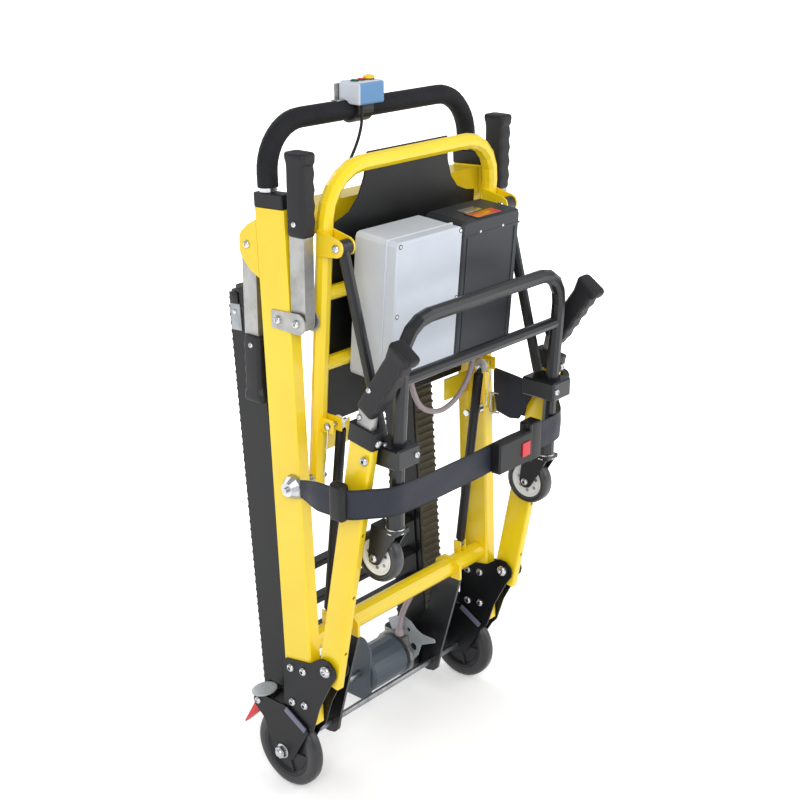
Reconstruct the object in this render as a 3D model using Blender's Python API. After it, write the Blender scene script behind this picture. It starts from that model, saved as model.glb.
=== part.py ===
"""Folded stair climbing chair: back frame, track unit, seat loop, front legs and castor frame.

Metres. +Z up, the tracks at +Y, the castors at -Y, left pieces at -X.
Lengths are first given from the floor point midway between the rear wheels.
"""
import math

import bmesh
import bpy
from mathutils import Matrix, Vector

# Clearances
SEAT = 0.0003        # between pieces that rest on each other
SHAFT = 0.0003       # around pins and shafts, on the radius

# Where the model's origin lies, measured from the rear wheel line
SHIFT_Y = 0.0660

# Rails
RAIL_X = 0.253
RAIL_WIDE = 0.028
RAIL_DEEP = 0.066
RAIL_WALL = 0.002
RAIL_FOOT = Vector((0.0, -0.037, 0.28))
RAIL_LEAN = math.atan(0.0457)
RAIL_LOW = -0.125
RAIL_TOP = 0.805

# Push handle, measured in the rail's own leaning frame
HANDLE_OFF = 0.0112
HANDLE_R = 0.011
HANDLE_BORE = 0.009
HANDLE_LOW = 0.42
HANDLE_TOP = 0.9375
HANDLE_BEND = 0.080
FOAM_R = 0.0175
FOAM_LOW = 0.8370

# Seat loop, measured from the seat pivot
SEAT_PIVOT = Vector((0.0, -0.044, 0.615))
SEAT_LEAN = math.radians(3.9)
LOOP_X = 0.2135
LOOP_R = 0.014
LOOP_BORE = 0.0122
LOOP_TOP = 0.535
LOOP_BEND = 0.080
RUNG_R = 0.0125
RUNGS = (0.206, 0.329)
EAR = Vector((0.0, -0.113, 1.030))

# Front legs, measured from the leg pivot
LEG_PIVOT = Vector((0.0, -0.111, 0.284))
LEG_LEAN = math.radians(10.2)
LEG_WIDE = 0.018
LEG_DEEP = 0.050
LEG_LOW = -0.030
LEG_TOP = 0.4665
FOLD_ALONG = 0.430
FOLD_OFF = -0.0155

# Castor frame
FRAME_X = 0.212
FRAME_R = 0.0125
STEM = Vector((FRAME_X, -0.221, 0.586))
FRAME_LEAN = 0.054
CASTOR_R = 0.045
CASTOR_WIDE = 0.025
CASTOR_TRAIL = 0.034
CASTOR_Z = 0.513

# Rear wheels
WHEEL_R = 0.075
WHEEL_LOW = 0.2398
WHEEL_HIGH = 0.2662
AXLE_R = 0.006

# Tracks, measured from the drive shaft
DRIVE = Vector((0.0, 0.060, 0.090))
TRACK_LEAN = math.radians(4.17)
TRACK_LONG = 0.797
TRACK_WIDE = 0.050
TRACK_HIGH = RAIL_X - 0.038
TRACK_LOW = TRACK_HIGH - TRACK_WIDE
PULLEY_R = 0.036
BELT_THICK = 0.004
TOOTH_TALL = 0.005
TOOTH_PITCH = 0.038
SHAFT_R = 0.008

AXES = {
    "X": lambda a, b, h: (h, a, b),
    "Y": lambda a, b, h: (a, h, b),
    "Z": lambda a, b, h: (a, b, h),
}

PAINTS = {
    "yellow": ((0.93, 0.60, 0.035), 0.35, 0.0),
    "charcoal": ((0.030, 0.033, 0.037), 0.45, 0.0),
    "black": ((0.020, 0.020, 0.022), 0.50, 0.0),
    "grip": ((0.045, 0.045, 0.047), 0.65, 0.0),
    "foam": ((0.035, 0.036, 0.038), 0.85, 0.0),
    "grey": ((0.36, 0.36, 0.35), 0.45, 0.3),
    "steel": ((0.60, 0.60, 0.61), 0.28, 1.0),
    "white": ((0.72, 0.77, 0.84), 0.45, 0.0),
    "slate": ((0.090, 0.110, 0.140), 0.45, 0.2),
    "rubber": ((0.060, 0.056, 0.045), 0.80, 0.0),
    "webbing": ((0.013, 0.015, 0.024), 0.75, 0.0),
    "red": ((0.80, 0.035, 0.050), 0.35, 0.0),
    "green": ((0.020, 0.400, 0.110), 0.35, 0.0),
    "amber": ((0.850, 0.480, 0.020), 0.35, 0.0),
    "blue": ((0.140, 0.300, 0.520), 0.40, 0.0),
    "conduit": ((0.520, 0.440, 0.430), 0.60, 0.0),
    "tyre": ((0.055, 0.053, 0.050), 0.80, 0.0),
}


# Helpers: shapes and joining

def start_empty():
    for obj in list(bpy.data.objects):
        bpy.data.objects.remove(obj, do_unlink=True)


def add(name, data):
    obj = bpy.data.objects.new(name, data)
    bpy.context.scene.collection.objects.link(obj)
    return obj


def closed(bm):
    bmesh.ops.recalc_face_normals(bm, faces=bm.faces[:])
    mesh = bpy.data.meshes.new("shape")
    bm.to_mesh(mesh)
    bm.free()
    return add("shape", mesh)


def settled(obj):
    """The object as a plain mesh object with its modifiers or curve worked in."""
    bpy.context.view_layer.update()
    graph = bpy.context.evaluated_depsgraph_get()
    mesh = bpy.data.meshes.new_from_object(obj.evaluated_get(graph))
    bpy.data.objects.remove(obj, do_unlink=True)
    return add("shape", mesh)


def placed(obj, matrix):
    obj.data.transform(matrix)
    if matrix.determinant() < 0:
        obj.data.flip_normals()
    return obj


def moved(obj, x=0.0, y=0.0, z=0.0):
    return placed(obj, Matrix.Translation((x, y, z)))


def twin(obj):
    """The same shape on the other side of the middle plane."""
    other = add("shape", obj.data.copy())
    return placed(other, Matrix.Diagonal((-1.0, 1.0, 1.0, 1.0)))


def combined(obj, tool, how):
    step = obj.modifiers.new("step", "BOOLEAN")
    step.operation = how
    step.solver = "EXACT"
    step.object = tool
    result = settled(obj)
    bpy.data.objects.remove(tool, do_unlink=True)
    return result


def joined(obj, *others):
    for other in others:
        obj = combined(obj, other, "UNION")
    return obj


def cut(obj, *others):
    for other in others:
        obj = combined(obj, other, "DIFFERENCE")
    return obj


def softened(obj, width, segments=2, angle=40.0):
    step = obj.modifiers.new("edge", "BEVEL")
    step.width = width
    step.segments = segments
    step.limit_method = "ANGLE"
    step.angle_limit = math.radians(angle)
    return settled(obj)


def disc(a, b, radius, sides):
    turn = 2.0 * math.pi / sides
    return [(a + radius * math.cos(i * turn), b + radius * math.sin(i * turn)) for i in range(sides)]


def corner_arc(before, corner, after, radius, steps, shares=(0.49, 0.49)):
    """Points of the round that replaces one corner of a line or outline."""
    before, corner, after = Vector(before), Vector(corner), Vector(after)
    to_before = before - corner
    to_after = after - corner
    half = to_before.angle(to_after) / 2.0
    run = min(radius / math.tan(half), shares[0] * to_before.length, shares[1] * to_after.length)
    reach = run * math.tan(half)
    to_before.normalize()
    to_after.normalize()
    centre = corner + (to_before + to_after).normalized() * (reach / math.sin(half))
    start = corner + to_before * run - centre
    end = corner + to_after * run - centre
    sweep = start.angle(end)
    points = []
    for i in range(steps + 1):
        t = i / steps
        a = math.sin((1.0 - t) * sweep) / math.sin(sweep)
        b = math.sin(t * sweep) / math.sin(sweep)
        points.append(tuple(centre + start * a + end * b))
    return points


def rounded(points, radii, steps=3):
    """A closed outline with its corners rounded."""
    out = []
    count = len(points)
    for i, point in enumerate(points):
        radius = radii[i] if isinstance(radii, (list, tuple)) else radii
        if radius <= 0.0:
            out.append(tuple(point))
            continue
        out += corner_arc(points[i - 1], point, points[(i + 1) % count], radius, steps)
    return out


def route(points, radius, steps=4):
    """An open line in space with its inner corners rounded."""
    out = [tuple(points[0])]
    for i in range(1, len(points) - 1):
        shares = (0.9 if i == 1 else 0.49, 0.9 if i == len(points) - 2 else 0.49)
        out += corner_arc(points[i - 1], points[i], points[i + 1], radius, steps, shares)
    out.append(tuple(points[-1]))
    return out


def oblong(a, b, wide, tall, radius=0.0, steps=2):
    corners = [(a - wide / 2, b - tall / 2), (a + wide / 2, b - tall / 2),
               (a + wide / 2, b + tall / 2), (a - wide / 2, b + tall / 2)]
    return rounded(corners, radius, steps)


def prism(outline, axis, low, high):
    """An outline drawn as a face and extruded along one axis."""
    bm = bmesh.new()
    ring = [bm.verts.new(AXES[axis](a, b, low)) for a, b in outline]
    face = bm.faces.new(ring)
    out = bmesh.ops.extrude_face_region(bm, geom=[face])
    far = [v for v in out["geom"] if isinstance(v, bmesh.types.BMVert)]
    bmesh.ops.translate(bm, verts=far, vec=Vector(AXES[axis](0.0, 0.0, high - low)))
    return closed(bm)


def pin(axis, a, b, radius, low, high, sides=12):
    return prism(disc(a, b, radius, sides), axis, low, high)


def block(x0, x1, y0, y1, z0, z1):
    bm = bmesh.new()
    size = Vector((x1 - x0, y1 - y0, z1 - z0))
    centre = Vector((x1 + x0, y1 + y0, z1 + z0)) / 2.0
    bmesh.ops.create_cube(bm, size=1.0, matrix=Matrix.Translation(centre) @ Matrix.Diagonal((*size, 1.0)))
    return closed(bm)


def spun(profile, axis, a, b, steps, ring=False):
    """A half section spun round an axis; points are (radius, place along the axis)."""
    bm = bmesh.new()
    verts = [bm.verts.new(AXES[axis](a + r, b, h)) for r, h in profile]
    edges = [bm.edges.new((verts[i], verts[i + 1])) for i in range(len(verts) - 1)]
    if ring:
        edges.append(bm.edges.new((verts[-1], verts[0])))
    bmesh.ops.spin(bm, geom=verts + edges, cent=Vector(AXES[axis](a, b, 0.0)),
                   axis=Vector(AXES[axis](0.0, 0.0, 1.0)), angle=2.0 * math.pi, steps=steps)
    bmesh.ops.remove_doubles(bm, verts=bm.verts[:], dist=0.00001)
    return closed(bm)


def swept(points, radius, sides):
    """A round bar along a line: a bevelled curve with filled ends."""
    curve = bpy.data.curves.new("line", "CURVE")
    curve.dimensions = "3D"
    curve.bevel_depth = radius
    curve.bevel_resolution = (sides - 4) // 2
    curve.use_fill_caps = True
    line = curve.splines.new("POLY")
    line.points.add(len(points) - 1)
    for spot, place in zip(line.points, points):
        spot.co = (place[0], place[1], place[2], 1.0)
    obj = settled(add("line", curve))
    bm = bmesh.new()
    bm.from_mesh(obj.data)
    bmesh.ops.remove_doubles(bm, verts=bm.verts[:], dist=0.00001)
    bpy.data.objects.remove(obj, do_unlink=True)
    return closed(bm)


def stretched(points, extra):
    """The same line, a little longer at both ends."""
    first, second = Vector(points[0]), Vector(points[1])
    last, inner = Vector(points[-1]), Vector(points[-2])
    head = first + (first - second).normalized() * extra
    tail = last + (last - inner).normalized() * extra
    return [tuple(head)] + [tuple(p) for p in points[1:-1]] + [tuple(tail)]


def hollow(points, radius, bore, sides, inner=None):
    return cut(swept(points, radius, sides), swept(stretched(points, 0.004), bore, inner or sides))


def piece(obj, name, paint, origin=(0.0, 0.0, 0.0)):
    """Names, paints and shades a finished piece and puts its origin on its pivot."""
    origin = Vector(origin)
    bm = bmesh.new()
    bm.from_mesh(obj.data)
    bmesh.ops.dissolve_limit(bm, angle_limit=math.radians(0.3), verts=bm.verts[:], edges=bm.edges[:])
    bm.to_mesh(obj.data)
    bm.free()
    obj.name = name
    obj.data.name = name
    obj.data.transform(Matrix.Translation(-origin))
    obj.location = origin + Vector((0.0, SHIFT_Y, 0.0))
    colour, rough, metal = PAINTS[paint]
    material = bpy.data.materials.get(paint) or bpy.data.materials.new(paint)
    material.use_nodes = True
    shader = material.node_tree.nodes["Principled BSDF"]
    shader.inputs["Base Color"].default_value = (*colour, 1.0)
    shader.inputs["Roughness"].default_value = rough
    shader.inputs["Metallic"].default_value = metal
    obj.data.materials.clear()
    obj.data.materials.append(material)
    for face in obj.data.polygons:
        face.material_index = 0
    obj.data.shade_smooth()
    obj.data.set_sharp_from_angle(angle=math.radians(35.0))
    return obj


def both_sides(obj, name, paint, origin=(0.0, 0.0, 0.0)):
    """A right hand piece and its mirrored left hand piece."""
    left = twin(obj)
    piece(obj, "right_" + name, paint, origin)
    piece(left, "left_" + name, paint, (-origin[0], origin[1], origin[2]))


def leaning(pivot, angle):
    """The frame of a leaning member: its foot at the pivot, its length along Z."""
    return Matrix.Translation(Vector((0.0, pivot[1], pivot[2]))) @ Matrix.Rotation(angle, 4, "X")


RAIL_FRAME = leaning(RAIL_FOOT, -RAIL_LEAN)
SEAT_FRAME = leaning(SEAT_PIVOT, SEAT_LEAN)
LEG_FRAME = leaning(LEG_PIVOT, LEG_LEAN)
TRACK_FRAME = leaning(DRIVE, -TRACK_LEAN)
FOLD_PIN = LEG_FRAME @ Vector((0.0, FOLD_OFF, FOLD_ALONG))


def bundled(*shapes):
    """Several separate shapes in one mesh, used as one cutter."""
    bm = bmesh.new()
    for shape in shapes:
        bm.from_mesh(shape.data)
        bpy.data.objects.remove(shape, do_unlink=True)
    return closed(bm)


# Back frame

PLATE_BOLTS = ((-0.024, 0.258), (-0.055, 0.262), (-0.026, 0.188), (-0.057, 0.193))
BOLT_R = 0.004
CHEEK_OUT = RAIL_X + RAIL_WIDE / 2 + SEAT
CHEEK_IN = RAIL_X - RAIL_WIDE / 2 - SEAT
CHEEK = 0.003
BRACKET_BOLT = (-0.018, 0.904)
UPPER_GRIP_PIVOT = Vector((RAIL_X, -0.060, 0.905))
REAR_GRIP_PIVOT = Vector((RAIL_X, 0.053, 1.018))
LEG_PIN_R = 0.006
FORK_PIN = (-0.047, 0.147)
PEDAL_PIVOT = Vector((0.253, 0.062, 0.157))
FORK_OUT = CHEEK_OUT + CHEEK + SEAT
FORK_IN = CHEEK_IN - CHEEK - SEAT
CROSS_Y = -0.045
CROSS_Z = 0.306
CROSS_R = 0.019
LINK_LOW = 0.1438
LINK_HIGH = 0.1498
TAB_IN = 0.2400
TAB_OUT = 0.2660
TAB_WALL = 0.0025
BOSS_TOP = 0.287
CONDUIT_X = 0.106
CONDUIT_R = 0.006
GLAND = Matrix.Translation((CONDUIT_X, CROSS_Y, CROSS_Z)) @ Matrix.Rotation(math.radians(-135.0), 4, "X")


def make_rails():
    rail = prism(oblong(RAIL_X, 0.0, RAIL_WIDE, RAIL_DEEP, 0.003, 1), "Z", RAIL_LOW, RAIL_TOP)
    bore = prism(oblong(RAIL_X, 0.0, RAIL_WIDE - 2 * RAIL_WALL, RAIL_DEEP - 2 * RAIL_WALL, 0.0015, 1),
                 "Z", RAIL_LOW - 0.01, RAIL_TOP + 0.01)
    rail = placed(cut(rail, bore), RAIL_FRAME)
    holes = [pin("X", y, z, BOLT_R + SHAFT, 0.230, 0.276, 6) for y, z in PLATE_BOLTS]
    holes.append(pin("X", *BRACKET_BOLT, BOLT_R + SHAFT, 0.230, 0.276, 8))
    holes.append(pin("X", SEAT_PIVOT.y, SEAT_PIVOT.z, 0.006 + SHAFT, 0.230, 0.276, 12))
    rail = cut(rail, bundled(*holes))
    tab = rounded([(0.0308, 1.062), (0.050, 1.052), (0.071, 1.034), (0.071, 1.000), (0.048, 0.976),
                   (0.0266, 0.966)], (0, 0.006, 0.012, 0.014, 0.006, 0), 1)
    for low in (TAB_IN, TAB_OUT - TAB_WALL):
        rail = joined(rail, prism(tab, "X", low, low + TAB_WALL))
    centre = (REAR_GRIP_PIVOT.y, REAR_GRIP_PIVOT.z)
    rail = joined(rail, pin("X", *centre, BOLT_R, TAB_IN - 0.002, TAB_OUT + 0.002, 8))
    rail = joined(rail, pin("X", *centre, 0.0070, TAB_OUT - 0.001, TAB_OUT + 0.003, 8))
    rail = joined(rail, pin("X", *centre, 0.0070, TAB_IN - 0.003, TAB_IN + 0.001, 8))
    both_sides(rail, "rail", "yellow")


def make_rail_caps():
    low = RAIL_TOP + SEAT
    cap = prism(oblong(RAIL_X, 0.0, RAIL_WIDE, RAIL_DEEP, 0.003), "Z", low, low + 0.024)
    cap = softened(cap, 0.0015, 1, 60.0)
    front = -RAIL_DEEP / 2 + RAIL_WALL + SEAT
    half = RAIL_WIDE / 2 - RAIL_WALL - SEAT
    plug = prism(oblong(RAIL_X, (front - 0.0015) / 2, 2 * half, -0.0015 - front, 0.003, 1), "Z",
                 RAIL_TOP - 0.018, low + 0.004)
    cap = joined(cap, plug)
    cap = cut(cap, pin("Z", RAIL_X, HANDLE_OFF, HANDLE_R + SHAFT, RAIL_TOP - 0.03, low + 0.04, 12))
    both_sides(placed(cap, RAIL_FRAME), "rail_cap", "black")


def make_upper_cross_panel():
    half = RAIL_X - RAIL_WIDE / 2 - SEAT
    section = [(-0.030, 0.755), (0.028, 0.755), (0.028, 0.757), (-0.028, 0.757),
               (-0.028, 0.801), (0.028, 0.801), (0.028, 0.803), (-0.030, 0.803)]
    panel = prism(section, "X", -half, half)
    panel = cut(panel, pin("Z", -0.100, 0.004, 0.0045, 0.790, 0.810, 10))
    piece(placed(panel, RAIL_FRAME), "upper_cross_panel", "yellow")


def make_lower_cross_frame():
    half = RAIL_X - RAIL_WIDE / 2 - SEAT
    frame = pin("X", CROSS_Y, CROSS_Z, CROSS_R, -half, half, 14)
    link = rounded([(-0.075, 0.325), (-0.018, 0.330), (0.004, 0.200), (0.050, 0.126), (0.084, 0.112),
                    (0.084, 0.070), (0.060, 0.064), (0.004, 0.054), (-0.020, 0.060), (-0.030, 0.110),
                    (-0.076, 0.285)],
                   (0.012, 0.016, 0.02, 0.02, 0.014, 0.014, 0, 0.012, 0.012, 0.02, 0.012), 1)
    for low in (LINK_LOW, -LINK_HIGH):
        frame = joined(frame, prism(link, "X", low, low + LINK_HIGH - LINK_LOW))
    bores = bundled(pin("X", CROSS_Y, CROSS_Z, CROSS_R - 0.0025, -0.26, 0.26, 12),
                    pin("X", DRIVE.y, DRIVE.z, SHAFT_R + SHAFT, -0.26, 0.26, 16),
                    pin("X", 0.0, WHEEL_R, AXLE_R + SHAFT, -0.26, 0.26, 12))
    gland = placed(pin("Z", 0.0, 0.0, CONDUIT_R + 0.0006, 0.010, 0.030, 10), GLAND)
    piece(cut(frame, bores, gland), "lower_cross_frame", "yellow")


def make_side_plates():
    outline = rounded([(-0.007, 0.272), (-0.070, 0.284), (-0.098, 0.305), (-0.128, 0.305), (-0.136, 0.280),
                       (-0.122, 0.260), (-0.092, 0.200), (-0.076, 0.148), (-0.060, 0.130), (-0.001, 0.118)],
                      (0.006, 0.015, 0.012, 0.014, 0.012, 0, 0, 0.01, 0.01, 0.004), 1)
    plates = prism(outline, "X", CHEEK_OUT, CHEEK_OUT + CHEEK)
    inner = prism(outline, "X", CHEEK_IN - CHEEK, CHEEK_IN)
    hole = pin("X", *FORK_PIN, BOLT_R + SHAFT, 0.22, 0.28, 8)
    plates = cut(bundled(plates, inner), hole)
    low, high = CHEEK_IN - CHEEK - 0.003, CHEEK_OUT + CHEEK + 0.003
    for y, z in PLATE_BOLTS:
        plates = joined(plates, pin("X", y, z, BOLT_R, CHEEK_IN - 0.001, CHEEK_OUT + 0.001, 6),
                        bundled(pin("X", y, z, 0.0075, low, CHEEK_IN - CHEEK + 0.0005, 6),
                                pin("X", y, z, 0.0075, CHEEK_OUT + CHEEK - 0.0005, high, 6)))
    y, z = LEG_PIVOT.y, LEG_PIVOT.z
    plates = joined(plates, pin("X", y, z, LEG_PIN_R, CHEEK_IN - 0.001, CHEEK_OUT + 0.001, 12),
                    bundled(pin("X", y, z, 0.011, low, CHEEK_IN - CHEEK + 0.0005, 10),
                            pin("X", y, z, 0.011, CHEEK_OUT + CHEEK - 0.0005, high, 10)))
    both_sides(plates, "side_plates", "black")


def make_wheel_forks():
    outline = rounded([(-0.066, 0.140), (-0.058, 0.154), (-0.010, 0.174), (0.068, 0.172), (0.077, 0.150),
                       (0.046, 0.126), (0.020, 0.058), (-0.020, 0.058)],
                      (0, 0, 0.008, 0.01, 0.01, 0.02, 0.016, 0.016), 1)
    fork = bundled(prism(outline, "X", FORK_OUT, FORK_OUT + CHEEK),
                   prism(outline, "X", FORK_IN - CHEEK, FORK_IN))
    fork = cut(fork, pin("X", 0.0, WHEEL_R, AXLE_R + SHAFT, 0.22, 0.28, 12))
    for y, z in (FORK_PIN, (PEDAL_PIVOT.y, PEDAL_PIVOT.z)):
        fork = joined(fork, pin("X", y, z, BOLT_R, FORK_IN - CHEEK - 0.002, FORK_OUT + CHEEK + 0.002, 6))
    both_sides(fork, "wheel_fork", "black")


def make_wheel_axle():
    nut = FORK_OUT + CHEEK + SEAT
    half = [(0.0, 0.2), (AXLE_R, 0.2), (AXLE_R, nut), (0.0105, nut), (0.0105, nut + 0.006),
            (0.0060, nut + 0.009), (0.0, nut + 0.0095)]
    mirror = [(r, -x) for r, x in reversed(half)]
    axle = spun(mirror[:-1] + half[1:], "X", 0.0, WHEEL_R, 12)
    piece(axle, "wheel_axle", "steel")


def make_seat_pivots():
    low = RAIL_X - RAIL_WIDE / 2
    high = RAIL_X + RAIL_WIDE / 2
    side = LOOP_X + LOOP_R
    profile = [(0.0, 0.195), (0.006, 0.195), (0.006, side + SEAT), (0.010, side + SEAT), (0.010, low - SEAT),
               (0.006, low - SEAT), (0.006, high + SEAT), (0.0225, high + SEAT), (0.0205, 0.275),
               (0.0125, BOSS_TOP), (0.005, BOSS_TOP), (0.005, 0.2925), (0.0, 0.2925)]
    both_sides(spun(profile, "X", SEAT_PIVOT.y, SEAT_PIVOT.z, 12), "seat_pivot", "steel")


def make_grip_brackets():
    outline = rounded([(-0.003, 0.889), (-0.003, 0.919), (-0.072, 0.923), (-0.082, 0.905), (-0.072, 0.887)],
                      (0, 0, 0.008, 0.008, 0.008), 1)
    bracket = bundled(prism(outline, "X", CHEEK_OUT, CHEEK_OUT + 0.0025),
                      prism(outline, "X", CHEEK_IN - 0.0025, CHEEK_IN))
    for y, z in (BRACKET_BOLT, (UPPER_GRIP_PIVOT.y, UPPER_GRIP_PIVOT.z)):
        bracket = joined(bracket, pin("X", y, z, BOLT_R, CHEEK_IN - 0.001, CHEEK_OUT + 0.001, 8),
                         bundled(pin("X", y, z, 0.007, CHEEK_IN - 0.0055, CHEEK_IN - 0.002, 8),
                                 pin("X", y, z, 0.007, CHEEK_OUT + 0.002, CHEEK_OUT + 0.0055, 8)))
    both_sides(bracket, "grip_bracket", "grey")


# Rear wheels and their brake

def make_rear_wheels():
    low, high = WHEEL_LOW, WHEEL_HIGH
    bore = AXLE_R + SHAFT
    profile = [(bore, low), (0.020, low), (0.022, low + 0.006), (0.048, low + 0.006), (0.052, low),
               (0.069, low), (WHEEL_R, low + 0.009), (WHEEL_R, high - 0.009), (0.069, high),
               (0.052, high), (0.048, high - 0.006), (0.022, high - 0.006), (0.020, high), (bore, high)]
    wheel = spun(profile, "X", 0.0, WHEEL_R, 20, ring=True)
    both_sides(wheel, "rear_wheel", "tyre", (RAIL_X, 0.0, WHEEL_R))


def make_brake_pedal():
    outline = rounded([(0.006, 0.166), (0.010, 0.180), (0.060, 0.190), (0.100, 0.200), (0.104, 0.190),
                       (0.082, 0.160), (0.106, 0.132), (0.102, 0.104), (0.092, 0.102), (0.084, 0.128),
                       (0.060, 0.146), (0.044, 0.162)], 0.003, 1)
    pedal = softened(prism(outline, "X", -0.264, -0.242), 0.0015, 1, 60.0)
    y, z = PEDAL_PIVOT.y, PEDAL_PIVOT.z
    hub = pin("X", y, z, 0.011, -0.2705, -0.2356, 10)
    bore = (BOLT_R + SHAFT) / math.cos(math.pi / 8)
    pedal = cut(joined(pedal, hub), pin("X", y, z, bore, -0.28, -0.22, 8))
    piece(pedal, "brake_pedal", "grey", (-PEDAL_PIVOT.x, y, z))


# Track unit, upright in its own frame with the drive shaft at the foot

PLATE_WALL = 0.003
PLATE_OUT = TRACK_HIGH + 0.0008
PLATE_IN = TRACK_LOW - 0.0008
IDLER_R = 0.005
BELT_IN = (PULLEY_R + SEAT) / math.cos(math.pi / 20)
PULLEY_LOW = TRACK_LOW + 0.004
PULLEY_HIGH = TRACK_HIGH - 0.004
SHAFT_END = PLATE_OUT + PLATE_WALL + 0.0037
IDLER_ENDS = (PLATE_IN - PLATE_WALL - 0.0017, PLATE_OUT + PLATE_WALL + 0.0027)


def stadium(half, low, high, steps):
    """A long outline with round ends, along Z."""
    top = [(half * math.cos(math.pi * i / steps), high + half * math.sin(math.pi * i / steps))
           for i in range(steps + 1)]
    foot = [(-half * math.cos(math.pi * i / steps), low - half * math.sin(math.pi * i / steps))
            for i in range(steps + 1)]
    return top + foot


def on_loop(run, radius):
    """The point a given run along a belt line of this radius round both shafts."""
    bend = math.pi * (BELT_IN + BELT_THICK)
    total = 2.0 * (TRACK_LONG + bend)
    run = run % total
    if run < TRACK_LONG:
        return (radius, run)
    run -= TRACK_LONG
    if run < bend:
        turn = math.pi * run / bend
        return (radius * math.cos(turn), TRACK_LONG + radius * math.sin(turn))
    run -= bend
    if run < TRACK_LONG:
        return (-radius, TRACK_LONG - run)
    turn = math.pi * (run - TRACK_LONG) / bend
    return (-radius * math.cos(turn), -radius * math.sin(turn))


def make_track_frames():
    outline = stadium(0.037, 0.0, TRACK_LONG, 6)
    frame = bundled(prism(outline, "X", PLATE_OUT, PLATE_OUT + PLATE_WALL),
                    prism(outline, "X", PLATE_IN - PLATE_WALL, PLATE_IN))
    beam = block(PLATE_IN - 0.001, PLATE_OUT + 0.001, -0.030, 0.030, 0.052, TRACK_LONG - 0.052)
    frame = joined(frame, beam)
    frame = cut(frame, block(PLATE_IN + 0.003, PLATE_OUT - 0.003, -0.027, 0.027, 0.03, TRACK_LONG - 0.03))
    ends = (PLATE_IN - PLATE_WALL - 0.01, PLATE_OUT + PLATE_WALL + 0.01)
    frame = cut(frame, bundled(pin("X", 0.0, 0.0, SHAFT_R + SHAFT, *ends, 16),
                               pin("X", 0.0, TRACK_LONG, IDLER_R + SHAFT, *ends, 12)))
    both_sides(placed(frame, TRACK_FRAME), "track_frame", "charcoal")


def make_track_cross_frame():
    outer = PLATE_IN - PLATE_WALL - SEAT
    strip = oblong(-0.008, 0.215, 0.036, 0.190, 0.006)
    frame = bundled(prism(strip, "X", outer - 0.0033, outer), prism(strip, "X", -outer, 0.0033 - outer))
    for s in (0.152, 0.212, 0.283):
        bar = prism(oblong(-0.010, s, 0.026, 0.012, 0.002, 1), "X", 0.002 - outer, outer - 0.002)
        frame = joined(frame, bar)
    piece(placed(frame, TRACK_FRAME), "track_cross_frame", "black")


def make_track_belts():
    base = BELT_IN + BELT_THICK
    total = 2.0 * (TRACK_LONG + math.pi * base)
    count = round(total / TOOTH_PITCH)
    pitch = total / count
    outline = []
    for i in range(count):
        start = i * pitch
        outline.append(on_loop(start, base))
        outline.append(on_loop(start + 0.18 * pitch, base + TOOTH_TALL))
        outline.append(on_loop(start + 0.52 * pitch, base + TOOTH_TALL))
        outline.append(on_loop(start + 0.70 * pitch, base))
    belt = prism(outline, "X", TRACK_LOW, TRACK_HIGH)
    inside = prism(stadium(BELT_IN, 0.0, TRACK_LONG, 10), "X", TRACK_LOW - 0.01, TRACK_HIGH + 0.01)
    both_sides(placed(cut(belt, inside), TRACK_FRAME), "track_belt", "rubber")


def make_drive_shaft():
    half = [(SHAFT_R, PULLEY_LOW), (PULLEY_R, PULLEY_LOW), (PULLEY_R, PULLEY_HIGH), (SHAFT_R, PULLEY_HIGH),
            (SHAFT_R, SHAFT_END), (0.0, SHAFT_END)]
    mirror = [(r, -x) for r, x in reversed(half)]
    piece(spun(mirror + half, "X", DRIVE.y, DRIVE.z, 20), "drive_shaft", "steel", DRIVE)


def make_idler_pulleys():
    low, high = IDLER_ENDS
    profile = [(0.0, low), (IDLER_R, low), (IDLER_R, PULLEY_LOW), (PULLEY_R, PULLEY_LOW),
               (PULLEY_R, PULLEY_HIGH), (IDLER_R, PULLEY_HIGH), (IDLER_R, high), (0.0, high)]
    centre = TRACK_FRAME @ Vector(((TRACK_LOW + TRACK_HIGH) / 2, 0.0, TRACK_LONG))
    pulley = placed(spun(profile, "X", 0.0, 0.0, 20), TRACK_FRAME @ Matrix.Translation((0.0, 0.0, TRACK_LONG)))
    both_sides(pulley, "idler_pulley", "charcoal", centre)


def make_motor():
    profile = [(0.0, -0.001), (0.040, -0.001), (0.044, 0.004), (0.044, 0.095), (0.039, 0.100), (0.0, 0.100)]
    motor = spun(profile, "X", DRIVE.y, DRIVE.z, 18)
    guard = rounded([(0.028, 0.034), (0.108, 0.034), (0.108, 0.150), (0.074, 0.173), (0.046, 0.173),
                     (0.028, 0.155)], 0.012, 2)
    motor = joined(motor, prism(guard, "X", -0.004, 0.0))
    piece(cut(motor, pin("X", DRIVE.y, DRIVE.z, SHAFT_R + SHAFT, -0.02, 0.12, 16)), "track_motor", "slate")


def make_gearbox():
    ring = pin("X", DRIVE.y, DRIVE.z, 0.0485, 0.1003, 0.1113, 18)
    case = softened(block(0.1105, LINK_LOW - SEAT, 0.0225, 0.0975, 0.046, 0.142), 0.006, 1)
    bolts = [pin("X", DRIVE.y + 0.038 * math.cos(a), DRIVE.z + 0.038 * math.sin(a), 0.004, 0.09, 0.1085, 6)
             for a in (0.6, 1.6, 2.6, 3.6)]
    case = cut(joined(ring, case), pin("X", DRIVE.y, DRIVE.z, SHAFT_R + SHAFT, 0.09, 0.15, 16), bundled(*bolts))
    piece(case, "motor_gearbox", "charcoal")


def make_motor_conduit():
    inside, outside = GLAND @ Vector((0.0, 0.0, 0.012)), GLAND @ Vector((0.0, 0.0, 0.050))
    points = route([(0.1040, 0.0450, 0.1382), (0.1045, 0.0440, 0.165), (CONDUIT_X, 0.030, 0.215),
                    tuple(outside), tuple(inside)], 0.060, 3)
    piece(swept(points, CONDUIT_R, 8), "motor_conduit", "conduit")


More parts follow.
